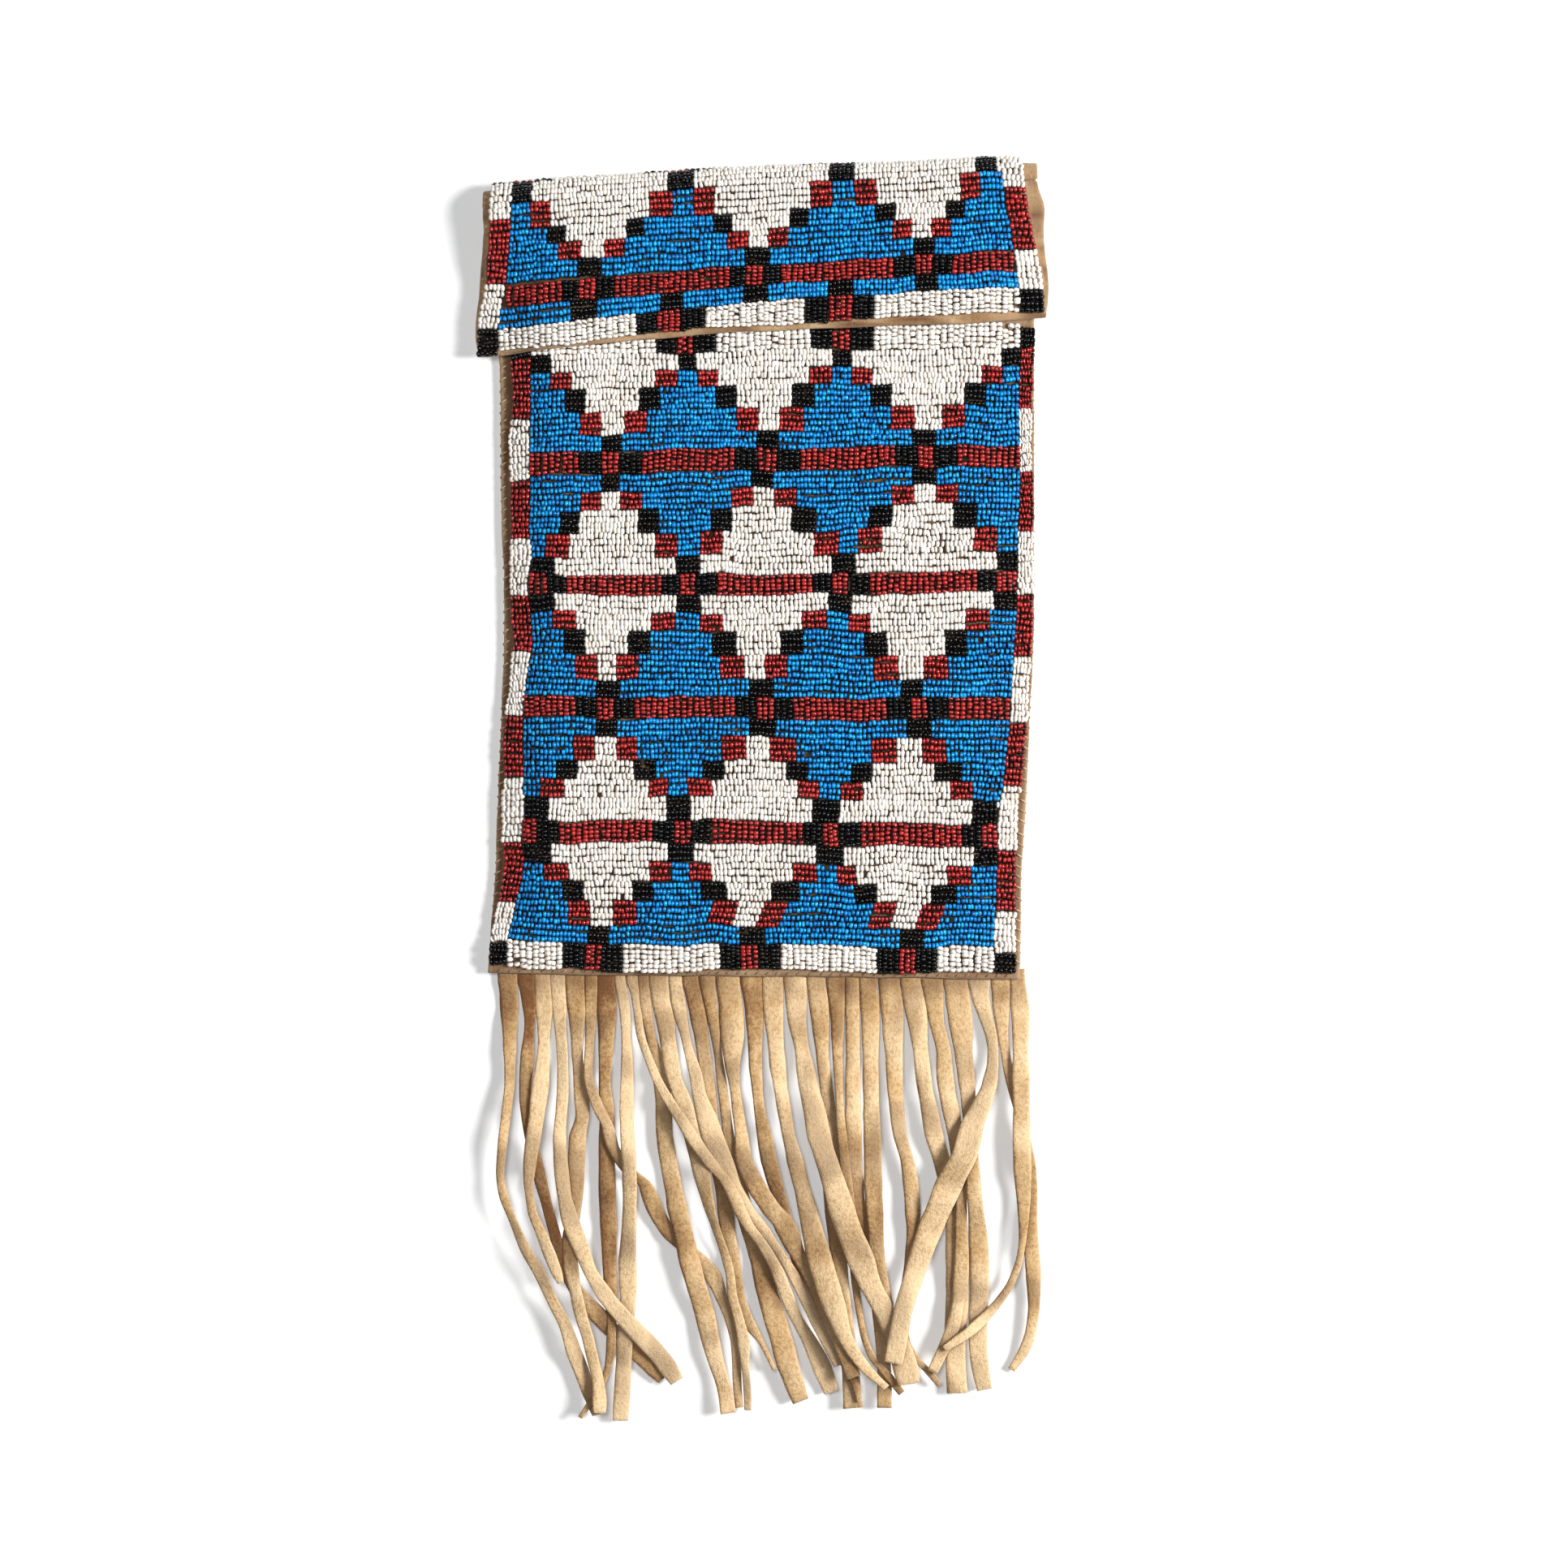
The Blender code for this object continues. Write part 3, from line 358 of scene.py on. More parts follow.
def leather_material(name, dark, mid, light, rough=0.88, grain=1.0, scale=1.0):
    """napped smoked hide: cloudy colour, fine fibres, darker where stained, with painted shadow and painted shade laid
    on where the attributes ask
    """
    m, nt, p = node_material(name)
    co = object_coords(nt)
    clouds = tex_noise(nt, co, 75 * scale, 4.0, 0.6)
    fibres = tex_noise(nt, co, 820 * scale, 5.0, 0.68)
    specks = tex_noise(nt, co, 2600 * scale, 2.0, 0.5)
    f = math_node(nt, "ADD", math_node(nt, "MULTIPLY", clouds, 0.50), math_node(nt, "MULTIPLY", fibres, 0.50))
    f = math_node(nt, "ADD", f, math_node(nt, "MULTIPLY", attribute(nt, "tone"), 0.45))
    col = ramp(nt, f, [(0.30, dark), (0.56, mid), (0.86, light)])
    deep = ramp(nt, fibres, [(0.30, 1.0), (0.50, 0.0)])
    col = mix(nt, math_node(nt, "MULTIPLY", deep, 0.30), col, dark)
    # stains, and painted shadow of the thongs lying above
    stain = math_node(nt, "MULTIPLY", attribute(nt, "stain"), math_node(nt, "ADD", 0.55, math_node(nt, "MULTIPLY", fibres, 0.7)))
    col = mix(nt, stain, col, (0.12, 0.048, 0.017))
    # painted shade: near black on the hide beneath the beads, where the under attribute is set
    col = mix(nt, attribute(nt, "under"), col, (0.034, 0.020, 0.012))
    nt.links.new(col, p.inputs["Base Color"])
    nt.links.new(ramp(nt, fibres, [(0.3, rough - 0.06), (0.7, min(1.0, rough + 0.08))]), p.inputs["Roughness"])
    p.inputs["Specular IOR Level"].default_value = 0.25
    p.inputs["Sheen Weight"].default_value = 0.25
    p.inputs["Sheen Roughness"].default_value = 0.5
    h = math_node(nt, "ADD", math_node(nt, "MULTIPLY", fibres, 0.7), math_node(nt, "MULTIPLY", specks, 0.3))
    b = nt.nodes.new("ShaderNodeBump")
    b.inputs["Strength"].default_value = 0.55 * grain
    b.inputs["Distance"].default_value = 0.0011
    nt.links.new(h, b.inputs["Height"])
    nt.links.new(b.outputs["Normal"], p.inputs["Normal"])
    return m


# hide tan that the white beads' painted shade mixes in towards the gaps
TAN_SHADE = (0.30, 0.185, 0.12)
MAT_W = bead_material("white_bead_glass", (0.71, 0.65, 0.57), (0.83, 0.80, 0.75), (0.93, 0.91, 0.875), 0.24, TAN_SHADE, 1.0, (0.30, 0.66))
MAT_K = bead_material("black_bead_glass", (0.0015, 0.0015, 0.002), (0.003, 0.003, 0.0035), (0.007, 0.007, 0.008), 0.12,
                      (0.004, 0.003, 0.002), 0.6, (0.2, 0.6), specular=0.3)
MAT_R = bead_material("red_bead_glass", (0.12, 0.004, 0.004), (0.42, 0.015, 0.015), (0.68, 0.032, 0.030), 0.12,
                      (0.004, 0.001, 0.001), 1.5, (0.05, 0.34), heart=((0.75, 0.33, 0.25), 0.10), specular=0.5)
MAT_B = bead_material("blue_bead_glass", (0.001, 0.09, 0.34), (0.002, 0.285, 0.80), (0.008, 0.50, 1.0), 0.12,
                      (0.001, 0.006, 0.012), 1.5, (0.05, 0.36), specular=0.42)
BEADS = {"W": 0, "K": 1, "R": 2, "B": 3}
BEAD_MATS = [MAT_W, MAT_K, MAT_R, MAT_B]
MAT_HIDE = leather_material("smoked_hide", (0.19, 0.095, 0.038), (0.42, 0.265, 0.138), (0.61, 0.43, 0.255))
MAT_FRONT = leather_material("soiled_hide", (0.07, 0.035, 0.017), (0.22, 0.13, 0.07), (0.44, 0.30, 0.18))
MAT_THONG = leather_material("thong_hide", (0.20, 0.08, 0.022), (0.54, 0.34, 0.152), (0.85, 0.62, 0.365), grain=1.6)
MAT_SINEW = leather_material("sinew_thread", (0.22, 0.13, 0.06), (0.42, 0.28, 0.15), (0.60, 0.44, 0.26), rough=0.6, grain=0.4)

# ---------------------------------------------------------------- beads
SIDES = 6
RINGS = [(-1.0, 0.50), (-0.54, 0.97), (0.54, 0.97), (1.0, 0.50)]
HOLED = [(-0.72, 0.30), (-1.0, 0.52), (-0.52, 0.97), (0.52, 0.97), (1.0, 0.52), (0.72, 0.30)]


class Strings:
    """collects the beads of one piece"""

    def __init__(self):
        self.parts = []

    def add(self, centre, axis, up, colour, radius, half, holed=False):
        n = len(centre)
        if n == 0:
            return
        self.parts.append((centre, axis, up, np.asarray([BEADS[c] for c in colour]) if not isinstance(colour, np.ndarray) else colour,
                           np.broadcast_to(radius, n), np.broadcast_to(half, n), np.broadcast_to(holed, n)))

    def arrays(self):
        return [np.concatenate([p[k] for p in self.parts]) for k in range(7)]


def unit(v):
    return v / np.maximum(np.linalg.norm(v, axis=-1, keepdims=True), 1e-12)


def template(rings, sides, capped):
    """points (axial, cos, sin, radius) and faces of one bead"""
    pts, quads, caps = [], [], []
    for a, r in rings:
        for k in range(sides):
            t = 2 * math.pi * k / sides
            pts.append((a, r * math.cos(t), r * math.sin(t), r))
    m = len(rings)
    pairs = [(q, q + 1) for q in range(m - 1)] + ([] if capped else [(m - 1, 0)])
    for q, w in pairs:
        for k in range(sides):
            k2 = (k + 1) % sides
            quads.append((q * sides + k, q * sides + k2, w * sides + k2, w * sides + k))
    if capped:
        caps.append(tuple(range(sides))[::-1])
        caps.append(tuple((m - 1) * sides + k for k in range(sides)))
    uv_q = []
    rows = len(pairs)
    for n, (q, w) in enumerate(pairs):
        for k in range(sides):
            u0, u1 = k / sides, (k + 1) / sides
            v0, v1 = 0.70 * n / rows, 0.70 * (n + 1) / rows
            uv_q.append([(u0, v0), (u1, v0), (u1, v1), (u0, v1)])
    uv_c = []
    for c in range(2 if capped else 0):
        cx = 0.25 + 0.5 * c
        order = list(range(sides))[::-1] if c == 0 else list(range(sides))
        uv_c.append([(cx + 0.12 * math.cos(2 * math.pi * k / sides), 0.86 + 0.12 * math.sin(2 * math.pi * k / sides))
                     for k in order])
    return (np.array(pts), np.array(quads, int), np.array(caps, int).reshape(-1, sides),
            np.array(uv_q), np.array(uv_c).reshape(-1, sides, 2))


PLAIN_T = template(RINGS, SIDES, True)
HOLED_T = template(HOLED, 7, False)


def bead_piece(name, strings, seed, painted_shade=0.5):
    c, a, up, col, r, h, holed = strings.arrays()
    g = np.random.default_rng(seed)
    n = len(c)
    a = unit(a + g.normal(0, 0.12, (n, 3)))
    v = unit(np.cross(a, up))
    w = np.cross(v, a)
    roll = g.uniform(0, 2 * math.pi, n)
    e1 = v * np.cos(roll)[:, None] + w * np.sin(roll)[:, None]
    e2 = -v * np.sin(roll)[:, None] + w * np.cos(roll)[:, None]
    r = r * np.clip(g.normal(1.0, 0.05, n), 0.86, 1.10)
    h = h * np.clip(g.normal(1.0, 0.08, n), 0.78, 1.2)
    c = c + g.normal(0, 0.12 * MM, (n, 3)) * [0.8, 1, 0.9]
    tone = np.clip(g.normal(0.5, 0.23, n), 0, 1)
    # each bead's strength of painted shade, around the level given for the piece
    dusty = np.clip(g.normal(painted_shade, 0.25, n), 0, 1.2)
    verts, quads, caps, mats_q, mats_c, tones, lows, dusts, ends, uvq, uvc = ([] for _ in range(11))
    side = int(math.ceil(math.sqrt(n)))
    cell = np.stack([np.arange(n) % side, np.arange(n) // side], -1)
    base = 0
    for sel, (tp, tq, tc, tuq, tuc) in ((~holed, PLAIN_T), (holed, HOLED_T)):
        k = np.flatnonzero(sel)
        if not len(k):
            continue
        m = len(tp)
        pos = (c[k, None] + a[k, None] * (tp[None, :, 0:1] * h[k, None, None]) +
               (e1[k, None] * tp[None, :, 1:2] + e2[k, None] * tp[None, :, 2:3]) * r[k, None, None])
        # low, 1 at the underside, is where the bead's painted shade falls
        low = -((pos - c[k, None]) * up[k, None]).sum(-1) / r[k, None]          # 1 at the underside
        verts.append(pos.reshape(-1, 3))
        off = base + np.arange(len(k))[:, None, None] * m
        quads.append((tq[None] + off).reshape(-1, 4))
        mats_q.append(np.repeat(col[k], len(tq)))
        uvq.append(((cell[k][:, None, None] + 0.06 + 0.88 * tuq[None]) / side).reshape(-1, 4, 2))
        if len(tc):
            caps.append((tc[None] + off).reshape(-1, tc.shape[1]))
            mats_c.append(np.repeat(col[k], len(tc)))
            uvc.append(((cell[k][:, None, None] + 0.06 + 0.88 * tuc[None]) / side).reshape(-1, tc.shape[1], 2))
        tones.append(np.repeat(tone[k], m))
        lows.append((0.5 + 0.5 * np.clip(low, -1, 1)).ravel())
        dusts.append(np.repeat(dusty[k], m))
        ends.append(np.broadcast_to(np.abs(tp[None, :, 0]), low.shape).ravel())
        base += len(k) * m
    ob = make_mesh(name, np.concatenate(verts), [np.concatenate(quads)] + ([np.concatenate(caps)] if caps else []), BEAD_MATS,
                   np.concatenate(mats_q + mats_c))
    add_floats(ob, tone=np.concatenate(tones), low=np.concatenate(lows), dust=np.concatenate(dusts), ends=np.concatenate(ends))
    add_uv(ob, np.concatenate([np.concatenate(uvq).reshape(-1, 2)] + ([np.concatenate(uvc).reshape(-1, 2)] if uvc else [])))
    return ob


def warp(x, y):
    """the rows and lanes wander a little over the front"""
    wx = 1.6 * noise(x, y, 85, 11) + 1.2 * noise(x, y, 33, 12)
    wy = 2.6 * noise(x, y, 110, 13) + 2.3 * noise(x, y, 44, 14) + 1.0 * noise(x, y, 20, 15)
    return x + wx, y + wy


def cells_of(blocks, start, gaps, x0, x1):
    """(x0, x1, colour) stretches across a row: the blocks, and between them the ground colours in turn"""
    out, at, state = [], x0, start
    for a, b, c in blocks:
        a, b = max(a, x0), min(b, x1)
        if a - at > 2:
            out.append((at, a, gaps[state]))
            at = a
        if b - at > 2:
            out.append((at, b, c))
            at = b
        if start != "same":
            state = "below" if state == "above" else "above"
    if x1 - at > 2:
        out.append((at, x1, gaps[state]))
    return out


def stitched(cells, step=26.0):
    """splits the long stretches where the thread dips into the hide, about every fifth bead"""
    out = []
    for a, b, c in cells:
        n = max(1, int(round((b - a) / step)))
        for k in range(n):
            out.append((a + (b - a) * k / n, a + (b - a) * (k + 1) / n, c))
    return out


PITCH = 4.95         # along a string, plan units
HALF = 0.70 * MM    # half length of a bead along its hole
SUNK = 0.97


def string_of(cells, jitter, r):
    """bead places along one string and their colours"""
    xs, cols, edge = [], [], []
    for a, b, c in cells:
        n = max(1, int(round((b - a + r.uniform(-1.6, 1.6)) / PITCH)))
        t = (np.arange(n) + 0.5) / n
        w = r.uniform(-0.06, 0.06, n) * (n > 1)
        xs.append(a + (b - a) * (t + w / n))
        cols += [c] * n
        edge.append(np.abs(2 * t - 1) ** 2)
    return np.concatenate(xs), cols, np.concatenate(edge)


def field(strings, groups, rows_y, place, left, right, ground, seed, drop=0.012):
    """rows of beads that run across: groups of rows with their blocks of colour.
    rows_y(x, t) is the row line at t from 0 to 1 down the field"""
    r = np.random.default_rng(seed)
    total = sum(g[0] for g in groups)
    done = 0
    for rows, start, blocks in groups:
        for k in range(rows):
            t = (done + 0.5) / total
            mid = rows_y(940.0, t)
            x0, x1 = left(rows_y(650.0, t)), right(rows_y(1240.0, t))
            state = {"stem": "above", "foot": "below"}.get(start, start)
            moved = [(a + (s if len(b3) else 0) * k / max(1, rows - 1), b + (s if len(b3) else 0) * k / max(1, rows - 1), c)
                     for a, b, c, *b3 in blocks for s in [b3[0] if b3 else 0]]
            toggles = start in ("above", "below")
            out, at, st = [], x0, state
            for a, b, c in moved:
                a, b = max(a, x0), min(b, x1)
                if a - at > 2.4:
                    out.append((at, a, ground[st]))
                    at = a
                if b - at > 2.4:
                    out.append((at, b, c))
                    at = b
                if toggles:
                    st = "below" if st == "above" else "above"
            if x1 - at > 2.4:
                out.append((at, x1, ground[st]))
            sh = r.normal(0, 0.35)
            cells = [(a + (sh if a > x0 + 1 else 0), b + (sh if b < x1 - 1 else 0), c) for a, b, c in stitched(out)]
            x, cols, edge = string_of(cells, 0.06, r)
            keep = r.random(len(x)) > drop * 0.15
            x, edge = x[keep], edge[keep]
            cols = [c for c, q in zip(cols, keep) if q]
            y = rows_y(x, t) + 0.75 * noise(x, np.full_like(x, 31.0 * (done + 1)), 24, seed) + 0.55 * noise(x, np.full_like(x, 31.0 * (done + 1)), 11, seed + 5)
            h = BEAD_R * SUNK + (0.10 - 0.16 * edge) * MM
            centre = place(x, y, h)
            tan = unit(np.gradient(centre, axis=0)) if len(x) > 2 else np.tile([1.0, 0, 0], (len(x), 1))
            upv = unit(place(x, y, h + 0.5 * MM) - centre)
            strings.add(centre, tan, upv, cols, BEAD_R * FAT, HALF)
            done += 1


def lane(strings, spans, x0, top, low, place, seed, count=5, pitch=7.4, hump=0.42, holes=True, drop=0.004):
    """short strings across a lane that runs along x: spans are (x end, colour);
    top(x) and low(x) are its edges"""
    r = np.random.default_rng(seed)
    at = x0
    for x1, c in spans:
        n = max(1, int(round((x1 - at) / pitch)))
        for k in range(n):
            xc = at + (x1 - at) * (k + 0.5) / n + r.normal(0, 0.22)
            ya, yb = top(xc) + 0.3 + r.normal(0, 0.5), low(xc) - 0.3 + r.normal(0, 0.5)
            m = count if r.random() > 0.12 else count + (1 if r.random() > 0.5 else -1)
            m = max(3, m)
            t = (np.arange(m) + 0.5) / m
            y = ya + (yb - ya) * t
            bow = r.normal(0, 0.55) * (1 - (2 * t - 1) ** 2) + r.normal(0, 0.35) * (2 * t - 1)
            x = xc + bow
            h = BEAD_R * 0.93 + (hump * (1 - np.abs(2 * t - 1) ** 2.2) + r.normal(0, 0.05)) * MM
            centre = place(x, y, h)
            tan = np.gradient(centre, axis=0)
            tilt = np.zeros((m, 3))
            upv = unit(place(x, y, h + 0.5 * MM) - centre)
            tilt[0] = upv[0] * 0.30
            tilt[-1] = -upv[-1] * 0.30
            tan = unit(unit(tan) + tilt)
            hol = np.zeros(m, bool)
            if holes:
                hol[[0, -1]] = True
            half = min(1.18, (yb - ya) / m / PITCH) * HALF * 1.02
            keep = r.random(m) > drop
            strings.add(centre[keep], tan[keep], upv[keep], [c] * int(keep.sum()), BEAD_R * FAT, half, hol[keep])
        at = x1


def side_lane(strings, spans, y0, left, right, place, seed, pitch=7.35, holes=True, hump=0.40, count=5):
    """short strings across a lane that runs down a side: spans are (y end, colour)"""
    r = np.random.default_rng(seed)
    at = y0
    for y1, c in spans:
        n = max(1, int(round((y1 - at) / pitch)))
        for k in range(n):
            yc = at + (y1 - at) * (k + 0.5) / n + r.normal(0, 0.25)
            xa, xb = left(yc) + 0.2 + r.normal(0, 0.6), right(yc) - 0.2 + r.normal(0, 0.5)
            m = count if r.random() > 0.12 else count + (1 if r.random() > 0.6 else -1)
            t = (np.arange(m) + 0.5) / m
            x = xa + (xb - xa) * t
            y = yc + r.normal(0, 0.45) * (1 - (2 * t - 1) ** 2) + r.normal(0, 0.5) * (2 * t - 1)
            h = BEAD_R * 0.93 + (hump * (1 - np.abs(2 * t - 1) ** 2.2) + r.normal(0, 0.05)) * MM
            centre = place(x, y, h)
            tan = np.gradient(centre, axis=0)
            upv = unit(place(x, y, h + 0.5 * MM) - centre)
            tilt = np.zeros((m, 3))
            tilt[0] = upv[0] * 0.30
            tilt[-1] = -upv[-1] * 0.30
            tan = unit(unit(tan) + tilt)
            hol = np.zeros(m, bool)
            if holes:
                hol[[0, -1]] = True
            half = min(1.18, (xb - xa) / m / PITCH) * HALF * 1.02
            strings.add(centre, tan, upv, [c] * m, BEAD_R * FAT, half, hol)
        at = y1


def warped_front(x, y, h):
    x, y = warp(np.asarray(x, float), np.asarray(y, float))
    return front_point(x, y, h)


# fields of the front: rows, ground at the left end, blocks (x0, x1, colour[, slant])
FIELD_1 = [
    (3, "stem", [(650, 679, "K"), (837, 859, "K"), (1026, 1050, "K"), (1234, 1260, "K")]),
    (3, "below", [(677, 703, "R"), (807, 834, "R"), (859, 885, "R"), (998, 1024, "R"), (1049, 1075, "R"), (1209, 1234, "R")]),
    (4, "below", [(695, 721, "K"), (787, 812, "K"), (881, 907, "K"), (975, 1002, "K"), (1072, 1098, "K"), (1189, 1214, "K")]),
    (4, "below", [(714, 741, "R"), (770, 797, "R"), (907, 935, "R"), (961, 989, "R"), (1098, 1127, "R"), (1161, 1189, "R")]),
    (3, "foot", [(742, 767, "K"), (933, 960, "K"), (1123, 1154, "K")])]
FIELD_2 = [
    (3, "stem", [(741, 764, "K"), (928, 955, "K"), (1124, 1154, "K")]),
    (3, "above", [(716, 741, "R"), (765, 792, "R"), (903, 930, "R"), (955, 983, "R"), (1098, 1126, "R"), (1154, 1182, "R")]),
    (4, "above", [(690, 714, "K"), (786, 812, "K"), (876, 903, "K"), (976, 1006, "K"), (1070, 1098, "K"), (1176, 1204, "K")]),
    (4, "above", [(673, 702, "R"), (807, 834, "R"), (861, 889, "R"), (1003, 1033, "R"), (1058, 1086, "R"), (1200, 1229, "R")]),
    (3, "foot", [(650, 685, "K"), (832, 861, "K"), (1025, 1054, "K"), (1229, 1260, "K")])]
FIELD_3 = [
    (3, "stem", [(650, 682, "K"), (833, 862, "K"), (1019, 1049, "K"), (1224, 1260, "K")]),
    (3, "below", [(679, 708, "R"), (802, 832, "R"), (861, 890, "R"), (987, 1017, "R"), (1045, 1073, "R"), (1190, 1219, "R")]),
    (4, "below", [(694, 721, "K"), (774, 801, "K"), (878, 908, "K"), (961, 989, "K"), (1066, 1094, "K"), (1165, 1192, "K")]),
    (4, "below", [(709, 736, "R"), (759, 786, "R"), (888, 916, "R"), (941, 969, "R"), (1076, 1106, "R"), (1137, 1167, "R")]),
    (3, "foot", [(735, 764, "K"), (922, 951, "K"), (1109, 1136, "K")])]
FIELD_4 = [
    (3, "stem", [(735, 760, "K"), (922, 955, "K"), (1116, 1146, "K")]),
    (4, "above", [(707, 733, "R"), (760, 787, "R"), (889, 918, "R"), (948, 980, "R"), (1073, 1104, "R"), (1136, 1165, "R")]),
    (3, "above", [(686, 713, "K"), (782, 809, "K"), (867, 893, "K"), (968, 994, "K"), (1048, 1073, "K"), (1151, 1184, "K")]),
    (3, "above", [(667, 695, "R"), (800, 824, "R"), (848, 878, "R"), (982, 1008, "R"), (1035, 1062, "R"), (1170, 1197, "R")]),
    (4, "foot", [(644, 677, "K"), (823, 851, "K"), (1002, 1035, "K"), (1198, 1229, "K")])]
FIELD_5 = [
    (3, "stem", [(644, 680, "K"), (823, 857, "K"), (1005, 1040, "K"), (1200, 1232, "K")]),
    (3, "below", [(670, 700, "R"), (800, 827, "R"), (851, 878, "R"), (976, 1006, "R"), (1030, 1054, "R"), (1165, 1195, "R")]),
    (3, "below", [(693, 719, "K"), (778, 804, "K"), (866, 897, "K"), (951, 985, "K"), (1052, 1079, "K"), (1146, 1177, "K")]),
    (4, "below", [(699, 726, "R"), (754, 784, "R"), (880, 911, "R", -8), (942, 970, "R", -10), (1076, 1104, "R", -8),
                  (1135, 1163, "R", -9)]),
    (3, "foot", [(723, 750, "K"), (913, 943, "K"), (1108, 1138, "K")])]
FLAP_FIELD = [
    (4, "stem", [(622, 656, "K"), (823, 856, "K"), (1022, 1053, "K"), (1202, 1228, "K")]),
    (4, "below", [(654, 679, "R"), (800, 829, "R"), (855, 881, "R"), (998, 1025, "R"), (1052, 1079, "R"), (1182, 1206, "R")]),
    (3, "below", [(675, 697, "K"), (771, 793, "K"), (879, 903, "K"), (973, 996, "K"), (1077, 1101, "K"), (1164, 1187, "K")]),
    (3, "below", [(689, 716, "R"), (744, 769, "R"), (897, 922, "R"), (947, 972, "R"), (1099, 1122, "R"), (1147, 1171, "R")]),
    (3, "foot", [(712, 740, "K"), (917, 949, "K"), (1124, 1150, "K")])]
FLAP_LOW = [(3, "foot", [(704, 736, "K"), (815, 843, "K"), (917, 948, "K"), (1020, 1050, "K"), (1127, 1155, "K")])]
W_OVER_B = {"above": "W", "below": "B"}
B_OVER_W = {"above": "B", "below": "W"}

RED_1 = [(713, "R"), (741, "K"), (763, "R"), (791, "K"), (907, "R"), (935, "K"), (959, "R"), (986, "K"), (1103, "R"),
         (1130, "K"), (1151, "R"), (1178, "K"), (1257, "R")]
RED_2 = [(675, "R"), (698, "K"), (815, "R"), (836, "K"), (857, "R"), (883, "K"), (1001, "R"), (1024, "K"), (1046, "R"),
         (1071, "K"), (1205, "R"), (1228, "K"), (1254, "R")]
RED_3 = [(711, "R"), (736, "K"), (757, "R"), (782, "K"), (906, "R"), (930, "K"), (952, "R"), (976, "K"), (1092, "R"),
         (1121, "K"), (1142, "R"), (1167, "K"), (1244, "R")]
RED_4 = [(663, "R"), (690, "K"), (805, "R"), (831, "K"), (852, "R"), (877, "K"), (991, "R"), (1015, "K"), (1035, "R"),
         (1061, "K"), (1187, "R"), (1210, "K"), (1230, "R")]
TOP_LANE = [(809, "W"), (834, "K"), (856, "R"), (884, "K"), (998, "W"), (1026, "K"), (1048, "R"), (1077, "K"), (1257, "W")]
BOTTOM_LANE = [(693, "W"), (720, "K"), (741, "R"), (768, "K"), (886, "W"), (913, "K"), (936, "R"), (962, "K"), (1081, "W"),
               (1108, "K"), (1128, "R"), (1155, "K"), (1225, "W")]
FLAP_BOTTOM = [(784, "W"), (811, "K"), (839, "R"), (869, "K"), (992, "W"), (1020, "K"), (1049, "R"), (1076, "K"), (1256, "W")]
FLAP_RED = [(694, "R"), (714, "K"), (734, "R"), (757, "K"), (899, "R"), (919, "K"), (941, "R"), (962, "K"), (1100, "R"),
            (1126, "K"), (1148, "R"), (1173, "K"), (1249, "R")]
FOLD_LANE = [(632, "K"), (657, "R"), (681, "K"), (792, "W"), (817, "K"), (850, "R"), (877, "K"), (987, "W"), (1015, "K"),
             (1041, "R"), (1062, "K"), (1236, "W"), (1260, "K")]
LEFT_LANE = [(443, "K"), (517, "R"), (591, "W"), (663, "R"), (734, "W"), (805, "R"), (883, "W"), (957, "R"), (1037, "W"),
             (1111, "R"), (1163, "W"), (1191, "K")]
RIGHT_LANE = [(427, "K"), (500, "R"), (579, "W"), (656, "R"), (735, "W"), (811, "R"), (891, "W"), (967, "R"), (1047, "W"),
              (1123, "R"), (1176, "W"), (1201, "K")]


def front_beads():
    made = []
    grounds = [W_OVER_B, B_OVER_W, W_OVER_B, B_OVER_W, W_OVER_B]
    fields = [FIELD_1, FIELD_2, FIELD_3, FIELD_4, FIELD_5]
    below = ["red_lane_1", "red_lane_2", "red_lane_3", "red_lane_4", "bottom_lane"]
    for n in range(5):
        s = Strings()

        def rows_y(x, t, a="field_%d" % (n + 1), b=below[n]):
            return band(a, x) * (1 - t) + band(b, x) * t
        field(s, fields[n], rows_y, warped_front, lambda y: line(LANE_LR, y) + 0.6, lambda y: line(LANE_RL, y) - 0.6,
              grounds[n], 100 + n, drop=0.02 if n == 4 else 0.008)
        made.append((bead_piece("beads_front_field_%d" % (n + 1), s, 200 + n), "front_field_%d" % (n + 1),
                     "white_field_beads" if n in (1, 3) else "blue_field_beads"))
    for n, spans in enumerate([RED_1, RED_2, RED_3, RED_4]):
        s = Strings()
        a, b = "red_lane_%d" % (n + 1), "field_%d" % (n + 2)
        x0 = float(line(LANE_LR, band(a, 650)))
        lane(s, spans, x0 - 1, lambda x: band(a, x) + 0.2, lambda x: band(b, x) - 0.2, warped_front, 300 + n)
        made.append((bead_piece("beads_front_" + a, s, 310 + n), "front_" + a, "lane_beads"))
    s = Strings()
    lane(s, TOP_LANE, 653, lambda x: band("top_lane", x), lambda x: band("field_1", x) - 0.2, warped_front, 320)
    made.append((bead_piece("beads_front_top_lane", s, 321), "front_top_lane", "border_beads"))
    s = Strings()
    lane(s, BOTTOM_LANE, 624, lambda x: band("bottom_lane", x) + 0.2, lambda x: band("hem", x), warped_front, 322, count=6)
    made.append((bead_piece("beads_front_bottom_lane", s, 323), "front_bottom_lane", "border_beads"))
    s = Strings()
    side_lane(s, LEFT_LANE, 414, lambda y: line(LANE_LL, y), lambda y: line(LANE_LR, y), warped_front, 324)
    made.append((bead_piece("beads_front_left_lane", s, 325), "front_left_lane", "border_beads"))
    s = Strings()
    side_lane(s, RIGHT_LANE, 399, lambda y: line(LANE_RL, y), lambda y: line(LANE_RR, y), warped_front, 326)
    made.append((bead_piece("beads_front_right_lane", s, 327), "front_right_lane", "border_beads"))
    for ob, node_name, slot in made:
        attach(ob, "bag")
        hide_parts(node_name)


